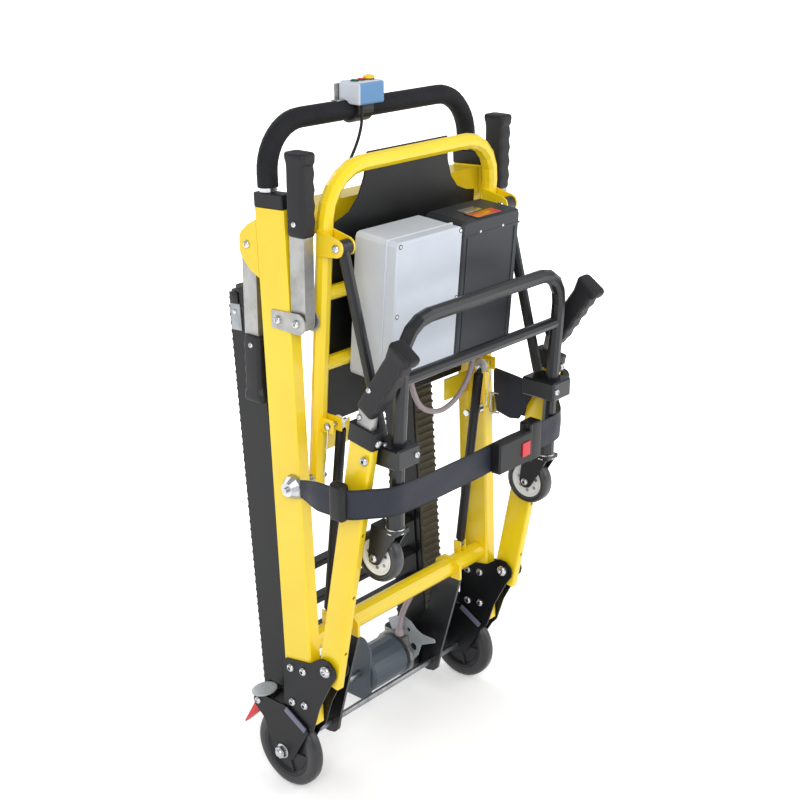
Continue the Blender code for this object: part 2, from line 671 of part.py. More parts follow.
# Push handle, in the leaning frame of the rails

BAR_CENTRE = RAIL_FRAME @ Vector((0.0, HANDLE_OFF, HANDLE_TOP))
BOX_LIFT = 0.010
BOX_TALL = 0.036
BOX_LOW = BAR_CENTRE.z + BOX_LIFT
BOX_TOP = BOX_LOW + BOX_TALL
BUTTON_Y = 0.004
BUTTONS = (("green", -0.0570, 0.0060), ("red", -0.0410, 0.0060), ("stop", -0.0225, 0.0085))


def handle_line(low):
    corners = [(-RAIL_X, HANDLE_OFF, low), (-RAIL_X, HANDLE_OFF, HANDLE_TOP),
               (RAIL_X, HANDLE_OFF, HANDLE_TOP), (RAIL_X, HANDLE_OFF, low)]
    return route(corners, HANDLE_BEND, 5)


def make_push_handle():
    tube = hollow(handle_line(HANDLE_LOW), HANDLE_R, HANDLE_BORE, 12, 6)
    rings = [pin("Z", x, HANDLE_OFF, 0.0145, FOAM_LOW - 0.0065, FOAM_LOW - 0.0005, 12)
             for x in (-RAIL_X, RAIL_X)]
    rings = cut(bundled(*rings), bundled(*[pin("Z", x, HANDLE_OFF, HANDLE_R - 0.001, FOAM_LOW - 0.02,
                                               FOAM_LOW + 0.01, 12) for x in (-RAIL_X, RAIL_X)]))
    piece(placed(joined(tube, rings), RAIL_FRAME), "push_handle_tube", "charcoal")
    foam = hollow(handle_line(FOAM_LOW), FOAM_R, HANDLE_R + SEAT, 12)
    piece(placed(foam, RAIL_FRAME), "handle_foam_grip", "foam")


def make_control_box():
    y, z = BAR_CENTRE.y, BAR_CENTRE.z
    box = softened(block(-0.071, -0.009, -0.020, 0.028, BOX_LOW, BOX_TOP), 0.003, 2)
    clamp = pin("X", y, z, 0.0225, -0.060, -0.020, 20)
    bore = pin("X", y, z, (FOAM_R + SEAT) / math.cos(math.pi / 12), -0.1, 0.1, 12)
    holes = [pin("Z", x, BUTTON_Y, r, BOX_TOP - 0.0065, BOX_TOP + 0.01, 12) for _, x, r in BUTTONS]
    holes.append(pin("Z", -0.055, -0.010, 0.0030, BOX_LOW - 0.01, BOX_LOW + 0.006, 8))
    piece(cut(joined(box, clamp), bore, bundled(*holes)), "control_box", "blue")
    for name, x, r in BUTTONS:
        low = BOX_TOP - 0.004
        button = pin("Z", x, BUTTON_Y, r - SEAT, low, BOX_TOP + 0.004, 12)
        if name == "stop":
            button = joined(button, softened(pin("Z", x, BUTTON_Y, 0.0105, BOX_TOP + 0.0025, BOX_TOP + 0.0085, 14),
                                             0.0015, 1))
        paint = {"green": "green", "red": "red", "stop": "amber"}[name]
        piece(button, name + "_button", paint, (x, BUTTON_Y, low))


CABLE_R = 0.0022


def make_control_cable():
    points = route([(-0.055, -0.010, BOX_LOW + 0.0045), (-0.056, -0.0115, 1.200), (-0.080, -0.006, 1.140),
                    (-0.099, 0.002, 1.105), (-0.100, 0.0040, 1.070)], 0.03, 4)
    piece(swept(points, CABLE_R, 6), "control_cable", "black")


# Hand grips

def grip_body(long, wide, deep, flare):
    """A moulded grip that stands on the origin, its finger side towards -Y."""
    half = deep / 2
    front = []
    for i in range(9):
        bump = 0.0025 if i % 2 else -0.0005
        front.append((-half - bump, 0.010 + i * (long - 0.030) / 8))
    outline = [(half - 0.003, 0.0), (half, 0.005), (half, long - 0.030), (half + flare, long - 0.005),
               (half + flare - 0.004, long), (-half - flare + 0.003, long), (-half - flare, long - 0.006)]
    outline += list(reversed(front)) + [(-half + 0.002, 0.0)]
    return softened(prism(outline, "X", -wide / 2, wide / 2), 0.0045, 1, 50.0)


def make_upper_grips():
    y, z = UPPER_GRIP_PIVOT.y, UPPER_GRIP_PIVOT.z
    bar = prism(stadium(0.016, z, 1.060 - 0.016, 8), "X", RAIL_X - 0.011, RAIL_X + 0.011)
    bar = cut(moved(bar, y=y), pin("X", y, z, (BOLT_R + SHAFT) / math.cos(math.pi / 8), 0.22, 0.28, 8))
    grip = placed(grip_body(0.132, 0.030, 0.036, 0.004), Matrix.Translation((RAIL_X, y, 1.047)))
    both_sides(joined(bar, grip), "upper_grip", "grip", UPPER_GRIP_PIVOT)


def make_rear_grips():
    y, z = REAR_GRIP_PIVOT.y, REAR_GRIP_PIVOT.z
    low, high = TAB_IN + TAB_WALL + SEAT, TAB_OUT - TAB_WALL - SEAT
    bar = prism(stadium(0.016, 0.862, z, 8), "X", low, high)
    bar = cut(moved(bar, y=y), pin("X", y, z, (BOLT_R + SHAFT) / math.cos(math.pi / 8), 0.22, 0.28, 8))
    turn = Matrix.Translation((RAIL_X, 0.050, 0.862)) @ Matrix.Rotation(math.pi, 4, "X")
    grip = placed(grip_body(0.116, 0.030, 0.036, 0.005), turn)
    both_sides(joined(bar, grip), "rear_grip", "grip", REAR_GRIP_PIVOT)


# Seat, in its own leaning frame with the seat pivot at the foot

EAR_LOCAL = SEAT_FRAME.inverted() @ EAR
EAR_INSET = 0.015
EAR_GAP = 0.025
EAR_WALL = 0.003
EAR_IN = LOOP_X - EAR_INSET
EAR_OUT = EAR_IN + EAR_WALL + EAR_GAP
STRUT_X = EAR_IN + EAR_WALL + EAR_GAP / 2
STRUT_R = 0.0095
PANEL_WALL = 0.005
CASE_BACK = -(RUNG_R + 0.0008)
CASE_SEAM = -0.080
CASE_FRONT = -0.105
CASE_LOW = 0.180
CASE_HIGH = 0.428
LEAD_R = 0.005
LEAD_FROM = (-0.050, -0.060)
LEAD_TO = (0.150, -0.043)


def make_seat_loop():
    low = -0.017
    line = route([(-LOOP_X, 0.0, low), (-LOOP_X, 0.0, LOOP_TOP), (LOOP_X, 0.0, LOOP_TOP), (LOOP_X, 0.0, low)],
                 LOOP_BEND, 5)
    loop = swept(line, LOOP_R, 10)
    for s in RUNGS:
        loop = joined(loop, pin("X", 0.0, s, RUNG_R, -LOOP_X, LOOP_X, 10))
    t, s = EAR_LOCAL.y, EAR_LOCAL.z
    ear = rounded([(0.003, s - 0.022), (0.003, s + 0.022), (t - 0.013, s + 0.013), (t - 0.013, s - 0.013)],
                  (0, 0, 0.012, 0.012), 2)
    for side in (-1, 1):
        for near in (EAR_IN, EAR_OUT):
            ends = sorted((side * near, side * (near + EAR_WALL)))
            loop = joined(loop, prism(ear, "X", *ends))
    loop = cut(loop, swept(stretched(line, 0.004), LOOP_BORE, 6))
    loop = cut(loop, bundled(pin("X", 0.0, 0.0, 0.006 + SHAFT, -0.24, -0.18, 12),
                             pin("X", 0.0, 0.0, 0.006 + SHAFT, 0.18, 0.24, 12)))
    for side in (-1, 1):
        span = sorted((side * (EAR_IN + 0.001), side * (EAR_OUT + 0.002)))
        loop = joined(loop, pin("X", t, s, BOLT_R, *span, 8))
        outer = sorted((side * (EAR_OUT + 0.002), side * (EAR_OUT + EAR_WALL + 0.0025)))
        inner = sorted((side * (EAR_IN - 0.003), side * (EAR_IN + 0.001)))
        loop = joined(loop, bundled(pin("X", t, s, 0.007, *outer, 8), pin("X", t, s, 0.007, *inner, 8)))
    piece(placed(loop, SEAT_FRAME), "seat_loop", "yellow", SEAT_PIVOT)


def make_seat_panel():
    right = [(0.190, 0.085), (0.190, 0.438), (0.168, 0.441), (0.140, 0.452), (0.120, 0.474), (0.108, 0.505),
             (0.103, 0.546)]
    outline = right + [(-x, s) for x, s in reversed(right)]
    panel = prism(outline, "Y", LOOP_R + SEAT, LOOP_R + SEAT + PANEL_WALL)
    piece(placed(softened(panel, 0.0015, 1, 60.0), SEAT_FRAME), "seat_panel", "black", SEAT_PIVOT)


def make_cases():
    middle, tall = (CASE_LOW + CASE_HIGH) / 2, CASE_HIGH - CASE_LOW
    wide = 0.165
    centre = -0.0725
    outer = oblong(centre, middle, wide, tall, 0.008, 2)
    inner = oblong(centre, middle, wide - 0.006, tall - 0.006, 0.005, 2)
    box = cut(prism(outer, "Y", CASE_SEAM, CASE_BACK), prism(inner, "Y", CASE_SEAM - 0.01, CASE_BACK - 0.003))
    box = cut(box, pin("Z", LEAD_FROM[0], LEAD_FROM[1], LEAD_R + 0.0006, CASE_LOW - 0.01, CASE_LOW + 0.005, 10))
    piece(placed(box, SEAT_FRAME), "control_enclosure", "white", SEAT_PIVOT)
    lid = softened(prism(outer, "Y", CASE_FRONT, CASE_SEAM - SEAT), 0.003, 1, 60.0)
    lid = cut(lid, prism(inner, "Y", CASE_FRONT + 0.003, CASE_SEAM + 0.01))
    piece(placed(lid, SEAT_FRAME), "enclosure_lid", "white", SEAT_PIVOT)
    pack = softened(prism(oblong(0.0965, middle, 0.159, tall + 0.006, 0.010, 2), "Y", -0.100, CASE_BACK),
                    0.004, 1, 60.0)
    pack = cut(pack, pin("Z", LEAD_TO[0], LEAD_TO[1], LEAD_R + 0.0006, CASE_LOW - 0.02, CASE_LOW + 0.007, 10))
    piece(placed(pack, SEAT_FRAME), "battery_pack", "charcoal", SEAT_PIVOT)


def make_battery_lead():
    """The lead that hangs in a loop from the enclosure to the battery."""
    points = route([(*LEAD_FROM, CASE_LOW + 0.004), (*LEAD_FROM, CASE_LOW - 0.025), (0.000, -0.056, 0.074),
                    (0.100, -0.046, 0.058), (*LEAD_TO, CASE_LOW - 0.080), (*LEAD_TO, CASE_LOW + 0.004)],
                   0.050, 4)
    piece(placed(swept(points, LEAD_R, 8), SEAT_FRAME), "battery_lead", "conduit", SEAT_PIVOT)


def make_struts():
    reach = FOLD_PIN - EAR
    long = reach.length
    frame = Matrix.Translation((0.0, EAR.y, EAR.z)) @ Matrix.Rotation(math.atan2(reach.y, -reach.z), 4, "X")
    strut = pin("Z", STRUT_X, 0.0, STRUT_R, 0.028 - long, -0.006, 10)
    low, high = EAR_IN + EAR_WALL + SEAT, EAR_OUT - SEAT
    strut = joined(strut, pin("X", 0.0, 0.0, 0.0125, low, high, 14))
    strut = cut(strut, pin("X", 0.0, 0.0, (BOLT_R + SHAFT) / math.cos(math.pi / 12), low - 0.01,
                           high + 0.01, 12))
    both_sides(placed(strut, frame), "strut", "charcoal", (STRUT_X, EAR.y, EAR.z))


# Front legs and lower grips, in the leaning frame of the legs

LOWER_BAR_WIDE = 0.0134
LOWER_BAR_DEEP = 0.0214
COLLAR_LOW = 0.412
COLLAR_TOP = 0.500


def make_front_legs():
    leg = prism(oblong(RAIL_X, 0.0, LEG_WIDE, LEG_DEEP, 0.004), "Z", LEG_LOW, LEG_TOP)
    collar = prism(oblong(RAIL_X, 0.0, LEG_WIDE + 0.007, LEG_DEEP + 0.0065, 0.005), "Z", COLLAR_LOW, COLLAR_TOP)
    leg = joined(leg, softened(collar, 0.0015, 1, 60.0))
    leg = cut(leg, prism(oblong(RAIL_X, 0.0, LEG_WIDE - 0.004, LEG_DEEP - 0.004, 0.002, 1), "Z",
                         LEG_LOW - 0.01, LEG_TOP))
    leg = cut(leg, prism(oblong(RAIL_X, 0.0, LOWER_BAR_WIDE + 2 * SEAT, LOWER_BAR_DEEP + 2 * SEAT, 0.0015, 1),
                         "Z", LEG_TOP - 0.01, COLLAR_TOP + 0.01))
    holes = [pin("X", 0.0, 0.0, LEG_PIN_R + SHAFT, 0.23, 0.28, 12),
             pin("X", FOLD_OFF, FOLD_ALONG, (BOLT_R + SHAFT) / math.cos(math.pi / 12), 0.23, 0.28, 12)]
    holes += [pin("Y", RAIL_X, s, 0.0035, -0.04, -0.01, 6) for s in (0.045, 0.163, 0.288)]
    leg = cut(leg, bundled(*holes))
    both_sides(placed(leg, LEG_FRAME), "front_leg", "yellow", (RAIL_X, LEG_PIVOT.y, LEG_PIVOT.z))


def make_lower_grips():
    bar = prism(oblong(RAIL_X, 0.0, LOWER_BAR_WIDE, LOWER_BAR_DEEP, 0.0015, 1), "Z", 0.200, 0.535)
    turn = Matrix.Translation((RAIL_X, 0.0, 0.512)) @ Matrix.Rotation(math.radians(23.6), 4, "X")
    grip = placed(grip_body(0.138, 0.030, 0.036, 0.006), turn)
    centre = LEG_FRAME @ Vector((RAIL_X, 0.0, LEG_TOP))
    both_sides(placed(joined(bar, grip), LEG_FRAME), "lower_grip", "grip", centre)


# Castor frame and castors

HEAD_LOW = 0.5745
HEAD_R = 0.0155
FORK_HALF = 0.0130
FORK_WALL = 0.0030
CLAMP_AHEAD = 0.0496
CLAMP_BEHIND = 0.0224
CLAMP_BELOW = 0.0145
CLAMP_ABOVE = 0.0205


def frame_y(z):
    return STEM.y - FRAME_LEAN * (z - STEM.z)


def make_castor_frame():
    top, low = 0.930, 0.600
    line = route([(-FRAME_X, frame_y(low), low), (-FRAME_X, frame_y(top), top), (FRAME_X, frame_y(top), top),
                  (FRAME_X, frame_y(low), low)], 0.060, 4)
    frame = swept(line, FRAME_R, 10)
    frame = joined(frame, pin("X", frame_y(0.834), 0.834, 0.0105, -FRAME_X, FRAME_X, 10))
    for side in (-1, 1):
        ends = sorted((side * 0.1850, side * 0.2400))
        clamp = softened(block(*ends, FOLD_PIN.y - CLAMP_AHEAD, FOLD_PIN.y + CLAMP_BEHIND,
                               FOLD_PIN.z - CLAMP_BELOW, FOLD_PIN.z + CLAMP_ABOVE), 0.003, 1)
        span = sorted((side * 0.2350, side * 0.2683))
        head = sorted((side * 0.2658, side * 0.2688))
        bolt = joined(pin("X", FOLD_PIN.y, FOLD_PIN.z, BOLT_R, *span, 8),
                      pin("X", FOLD_PIN.y, FOLD_PIN.z, 0.0075, *head, 8))
        socket = pin("Z", side * STEM.x, STEM.y, HEAD_R, HEAD_LOW, 0.6055, 14)
        frame = joined(frame, clamp, bolt, socket)
        frame = cut(frame, pin("Z", side * STEM.x, STEM.y, 0.005 + SHAFT, HEAD_LOW - 0.01, 0.5995, 10))
    piece(frame, "castor_frame", "charcoal", (0.0, FOLD_PIN.y, FOLD_PIN.z))


def make_castors():
    x, y = STEM.x, STEM.y
    wheel_y = y + CASTOR_TRAIL
    half = FORK_HALF + FORK_WALL
    crown = HEAD_LOW - SEAT
    fork = block(x - half, x + half, y - 0.0165, wheel_y + 0.006, crown - 0.007, crown)
    fork = joined(fork, pin("Z", x, y, 0.005, crown - 0.002, 0.5985, 10))
    cheek = rounded([(y - 0.0165, crown - 0.001), (wheel_y + 0.006, crown - 0.001), (wheel_y + 0.013, CASTOR_Z),
                     (wheel_y + 0.006, CASTOR_Z - 0.013), (wheel_y - 0.010, CASTOR_Z - 0.011)],
                    (0, 0, 0.008, 0.008, 0.010), 2)
    for low in (x - half, x + FORK_HALF):
        fork = joined(fork, prism(cheek, "X", low, low + FORK_WALL))
    fork = joined(fork, pin("X", wheel_y, CASTOR_Z, BOLT_R, x - half - 0.003, x + half + 0.003, 8))
    both_sides(fork, "castor_fork", "charcoal", STEM)
    half = CASTOR_WIDE / 2
    bore = BOLT_R + SHAFT
    profile = [(bore, -half), (0.024, -half), (0.028, -half + 0.003), (0.041, -half + 0.002),
               (CASTOR_R, -half + 0.007), (CASTOR_R, half - 0.007), (0.041, half - 0.002),
               (0.028, half - 0.003), (0.024, half), (bore, half)]
    wheel = spun([(r, x + h) for r, h in profile], "X", wheel_y, CASTOR_Z, 16, ring=True)
    both_sides(wheel, "castor_wheel", "tyre", (x, wheel_y, CASTOR_Z))


# Lap belt and buckle

BELT_X = 0.28855
BELT_Y = -0.2391
BELT_HALF = 0.00125
BELT_LOW = 0.606
BELT_TOP = 0.658
BUCKLE_BACK = BELT_Y - BELT_HALF - SEAT
BUCKLE_FRONT = -0.2622


def make_lap_belt():
    line = route([(BELT_X, -0.034), (BELT_X, -0.185), (0.232, BELT_Y), (-0.232, BELT_Y), (-BELT_X, -0.185),
                  (-BELT_X, -0.034)], 0.020, 4)
    sides = ([], [])
    for i, spot in enumerate(line):
        before = Vector(line[max(i - 1, 0)])
        after = Vector(line[min(i + 1, len(line) - 1)])
        along = (after - before).normalized()
        across = Vector((-along.y, along.x)) * BELT_HALF
        sides[0].append(tuple(Vector(spot) + across))
        sides[1].append(tuple(Vector(spot) - across))
    belt = prism(sides[0] + list(reversed(sides[1])), "Z", BELT_LOW, BELT_TOP)
    belt = cut(belt, bundled(pin("X", SEAT_PIVOT.y, SEAT_PIVOT.z, 0.0055, 0.28, 0.30, 12),
                             pin("X", SEAT_PIVOT.y, SEAT_PIVOT.z, 0.0055, -0.30, -0.28, 12)))
    piece(belt, "lap_belt", "webbing")


def make_buckle():
    body = softened(block(0.016, 0.110, BUCKLE_FRONT, BUCKLE_BACK, 0.604, 0.661), 0.003, 1)
    body = cut(body, block(0.080, 0.102, BUCKLE_FRONT - 0.01, BUCKLE_FRONT + 0.007, 0.619, 0.645))
    piece(body, "belt_buckle", "charcoal")
    low, high = BUCKLE_FRONT - 0.002, BUCKLE_FRONT + 0.0045
    button = block(0.080 + SEAT, 0.102 - SEAT, low, high, 0.619 + SEAT, 0.645 - SEAT)
    piece(button, "buckle_button", "red", (0.091, high, 0.632))


start_empty()
make_rails()
make_rail_caps()
make_upper_cross_panel()
make_lower_cross_frame()
make_side_plates()
make_wheel_forks()
make_wheel_axle()
make_seat_pivots()
make_grip_brackets()
make_rear_wheels()
make_brake_pedal()
make_track_frames()
make_track_cross_frame()
make_track_belts()
make_drive_shaft()
make_idler_pulleys()
make_motor()
make_gearbox()
make_motor_conduit()
make_push_handle()
make_control_box()
make_control_cable()
make_upper_grips()
make_rear_grips()
make_seat_loop()
make_seat_panel()
make_cases()
make_battery_lead()
make_struts()
make_front_legs()
make_lower_grips()
make_castor_frame()
make_castors()
make_lap_belt()
make_buckle()
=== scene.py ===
import bmesh
import bpy
import math
from mathutils import Matrix, Vector


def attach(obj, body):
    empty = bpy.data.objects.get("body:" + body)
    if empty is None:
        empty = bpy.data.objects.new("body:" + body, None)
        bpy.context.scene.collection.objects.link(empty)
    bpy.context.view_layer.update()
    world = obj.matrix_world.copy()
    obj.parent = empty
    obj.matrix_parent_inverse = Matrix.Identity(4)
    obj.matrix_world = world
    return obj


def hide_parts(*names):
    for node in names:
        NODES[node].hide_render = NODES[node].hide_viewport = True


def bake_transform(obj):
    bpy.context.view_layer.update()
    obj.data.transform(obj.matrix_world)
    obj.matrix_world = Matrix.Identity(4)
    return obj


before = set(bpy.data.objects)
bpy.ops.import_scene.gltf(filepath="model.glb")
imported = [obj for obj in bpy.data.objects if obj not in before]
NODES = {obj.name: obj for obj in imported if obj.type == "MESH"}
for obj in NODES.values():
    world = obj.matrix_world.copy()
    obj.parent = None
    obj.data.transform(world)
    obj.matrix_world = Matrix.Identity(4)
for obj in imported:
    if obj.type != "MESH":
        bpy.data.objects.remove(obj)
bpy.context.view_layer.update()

# Directions, and the measures that many pieces share, in metres

OUT = (1.0, 0.0, 0.0)
IN = (-1.0, 0.0, 0.0)
UP = (0.0, 0.0, 1.0)
FRONT = (0.0, -1.0, 0.0)
CENTRE = (0.0, 0.0, 0.0)
AXLE_Y = 0.066
RAIL_X = 0.253

# Camera

CAMERA_PLACE = (-1.773, -1.528, 1.568)
CAMERA_TURN = (math.radians(69.69), 0.0, math.radians(-48.88))
CAMERA_LENS = 62.69

bpy.ops.object.select_all(action="DESELECT")
bpy.ops.object.camera_add(location=CAMERA_PLACE, rotation=CAMERA_TURN)
camera = bpy.context.object
camera.name = "camera"
camera.data.sensor_width = 36.0
camera.data.lens = CAMERA_LENS
camera.data.clip_start = 0.05
camera.data.clip_end = 200.0
bpy.context.scene.camera = camera
bpy.context.scene.view_settings.view_transform = "Standard"


# Shader building

def put(tree, kind, inputs=(), **settings):
    """A shader node with its settings, its inputs wired from sockets or set to values."""
    made = tree.nodes.new("ShaderNode" + kind)
    for key, value in settings.items():
        setattr(made, key, value)
    for key, value in dict(inputs).items():
        if isinstance(value, bpy.types.NodeSocket):
            tree.links.new(value, made.inputs[key])
        else:
            made.inputs[key].default_value = value
    return made


def blended(tree, share, first, second):
    """The colour between two colours."""
    made = put(tree, "Mix", {0: share, 6: first, 7: second}, data_type="RGBA")
    return made.outputs[2]


def number(tree, first, second, operation="MULTIPLY"):
    """Two values worked into one."""
    return put(tree, "Math", {0: first, 1: second}, operation=operation).outputs[0]


def added(tree, value, other, share):
    """A value with a share of another added."""
    return number(tree, value, number(tree, other, share), "ADD")


def vector_maths(tree, operation, first, *second, result="Value"):
    inputs = dict(enumerate((first, *second)))
    return put(tree, "VectorMath", inputs, operation=operation).outputs[result]


def object_coords(tree):
    return put(tree, "TexCoord").outputs["Object"]


def between(tree, value, low, high, start=0.0, end=1.0):
    """The value spread from low to high onto start to end, and held there."""
    made = put(tree, "MapRange", {0: value, 1: low, 2: high, 3: start, 4: end}, clamp=True)
    return made.outputs[0]


def speckle(tree, coords, scale, detail=3.0, roughness=0.5):
    made = put(tree, "TexNoise", {"Vector": coords, "Scale": scale, "Detail": detail,
                                  "Roughness": roughness})
    return made.outputs[0]


def drawn_out(tree, coords, scale):
    """Coordinates scaled apart on each axis, which draws a pattern out."""
    return put(tree, "Mapping", {"Vector": coords, "Scale": scale}).outputs[0]


def raised(tree, height, strength, distance, under=None):
    inputs = {"Height": height, "Strength": strength, "Distance": distance}
    if under is not None:
        inputs["Normal"] = under
    return put(tree, "Bump", inputs).outputs[0]


def new_group(name, inputs, outputs):
    """An empty shader group with its sockets, and its two end nodes."""
    tree = bpy.data.node_groups.new(name, "ShaderNodeTree")
    kinds = {"colour": "NodeSocketColor", "value": "NodeSocketFloat", "vector": "NodeSocketVector"}
    for label, kind, start in inputs:
        socket = tree.interface.new_socket(label, in_out="INPUT", socket_type=kinds[kind])
        socket.default_value = start
    for label, kind in outputs:
        tree.interface.new_socket(label, in_out="OUTPUT", socket_type=kinds[kind])
    ends = tree.nodes.new("NodeGroupInput"), tree.nodes.new("NodeGroupOutput")
    return tree, ends[0].outputs, ends[1].inputs


# Finishes: each function gives the second tone's share, the worn share, roughness and normal

FINISH_IN = (("Colour", "colour", (0.5, 0.5, 0.5, 1.0)),
             ("Tone", "colour", (0.4, 0.4, 0.4, 1.0)),
             ("Worn", "colour", (0.6, 0.6, 0.6, 1.0)),
             ("Rough", "value", 0.4))
FINISH_OUT = (("Color", "colour"), ("Roughness", "value"), ("Normal", "vector"))


def edge_mask(tree, radius):
    """1 along sharp edges, where a coat wears first."""
    eased = put(tree, "Bevel", {"Radius": radius}, samples=3).outputs[0]
    plain = put(tree, "NewGeometry").outputs["Normal"]
    return between(tree, vector_maths(tree, "DOT_PRODUCT", eased, plain), 0.985, 0.90)


def powder_coat(tree, coords, rough):
    """Sprayed and baked paint: orange peel, slow drift of tone, fine scuffs, worn edges."""
    drift = between(tree, speckle(tree, coords, 6.0, 4.0), 0.35, 0.65)
    streaks = speckle(tree, drawn_out(tree, coords, (230.0, 230.0, 26.0)), 1.0, 4.0, 0.6)
    scuffs = number(tree, between(tree, streaks, 0.66, 0.74), 0.35)
    spots = between(tree, speckle(tree, coords, 95.0, 6.0, 0.7), 0.69, 0.72)
    chipped = between(tree, speckle(tree, coords, 60.0, 5.0), 0.5, 0.6)
    edges = number(tree, edge_mask(tree, 0.0012), chipped)
    worn = number(tree, edges, number(tree, spots, scuffs, "MAXIMUM"), "MAXIMUM")
    rough = added(tree, added(tree, rough, drift, 0.06), worn, 0.22)
    film = raised(tree, speckle(tree, coords, 620.0, 2.0), 0.10, 0.0004)
    return drift, number(tree, worn, 0.55), rough, raised(tree, worn, 0.25, -0.0002, film)


def moulded_plastic(tree, coords, rough):
    """Moulded plastic: a fine spark grain, faint flow marks and polished edges."""
    flow = between(tree, speckle(tree, coords, 9.0, 3.0), 0.35, 0.65)
    dust = between(tree, speckle(tree, coords, 240.0, 5.0, 0.7), 0.64, 0.74)
    rubbed = number(tree, edge_mask(tree, 0.0015), 0.6)
    marks = number(tree, rubbed, number(tree, dust, 0.4), "MAXIMUM")
    rough = added(tree, added(tree, rough, flow, 0.07), rubbed, -0.12)
    grain = speckle(tree, coords, 1500.0, 2.0)
    return flow, number(tree, marks, 0.45), rough, raised(tree, grain, 0.22, 0.0003)


def rubber_skin(tree, coords, rough):
    """Moulded rubber: dull, dusty in patches, with a fine open grain."""
    patches = between(tree, speckle(tree, coords, 22.0, 6.0, 0.6), 0.42, 0.68)
    dust = between(tree, speckle(tree, coords, 380.0, 4.0, 0.7), 0.60, 0.72)
    scuffed = number(tree, edge_mask(tree, 0.0015), 0.8)
    pale = number(tree, scuffed, number(tree, dust, 0.5), "MAXIMUM")
    grain = speckle(tree, coords, 900.0, 3.0, 0.6)
    return (patches, number(tree, pale, 0.5), added(tree, rough, patches, 0.12),
            raised(tree, grain, 0.35, 0.0004))


def drawn_metal(tree, coords, rough):
    """Bare or plated metal: fine drawn lines, faint stains and bright rubbed edges."""
    lines = speckle(tree, drawn_out(tree, coords, (900.0, 900.0, 28.0)), 1.0, 2.0)
    stains = between(tree, speckle(tree, coords, 30.0, 5.0, 0.6), 0.42, 0.66)
    bright = number(tree, edge_mask(tree, 0.0008), 0.7)
    rough = added(tree, added(tree, rough, stains, 0.10), lines, 0.10)
    return stains, bright, rough, raised(tree, lines, 0.12, 0.0002)


def foam_skin(tree, coords, rough):
    """Closed-cell foam: small cells pressed into a dull skin."""
    cells = put(tree, "TexVoronoi", {"Vector": coords, "Scale": 900.0}).outputs["Distance"]
    soft = between(tree, speckle(tree, coords, 18.0, 4.0), 0.35, 0.68)
    return (soft, between(tree, cells, 0.55, 0.85), added(tree, rough, cells, 0.1),
            raised(tree, cells, 0.35, 0.0005))


def finish_group(build):
    tree, given, out = new_group(build.__name__, FINISH_IN, FINISH_OUT)
    tone, worn, rough, normal = build(tree, object_coords(tree), given["Rough"])
    base = blended(tree, tone, given["Colour"], given["Tone"])
    tree.links.new(blended(tree, worn, base, given["Worn"]), out["Color"])
    tree.links.new(rough, out["Roughness"])
    tree.links.new(normal, out["Normal"])
    return tree


def distance_along(tree, apart, direction):
    return vector_maths(tree, "DOT_PRODUCT", apart, direction)


def distance_round(tree, apart, direction):
    cross = vector_maths(tree, "CROSS_PRODUCT", apart, direction, result="Vector")
    return vector_maths(tree, "LENGTH", cross)


def band_group(name, measure):
    """1 where a distance, along a direction or round its line, lies between low and high."""
    inputs = (("Origin", "vector", CENTRE), ("Direction", "vector", UP),
              ("Low", "value", 0.0), ("High", "value", 1.0))
    tree, given, out = new_group(name, inputs, (("Mask", "value"),))
    apart = vector_maths(tree, "SUBTRACT", object_coords(tree), given["Origin"], result="Vector")
    far = measure(tree, apart, given["Direction"])
    above = number(tree, far, given["Low"], "GREATER_THAN")
    below = number(tree, far, given["High"], "LESS_THAN")
    tree.links.new(number(tree, above, below), out["Mask"])
    return tree


GROUPS = {"paint": finish_group(powder_coat), "plastic": finish_group(moulded_plastic),
          "rubber": finish_group(rubber_skin), "metal": finish_group(drawn_metal),
          "foam": finish_group(foam_skin), "along": band_group("band_along", distance_along),
          "round": band_group("band_round", distance_round)}


def linear(red, green, blue):
    """A colour given in screen values from 0 to 255, as the shader's linear colour."""
    def one(value):
        share = value / 255.0
        return share / 12.92 if share <= 0.04045 else ((share + 0.055) / 1.055) ** 2.4
    return (one(red), one(green), one(blue), 1.0)


# Each finish: its kind, colour, second tone, worn colour, roughness and metallic share

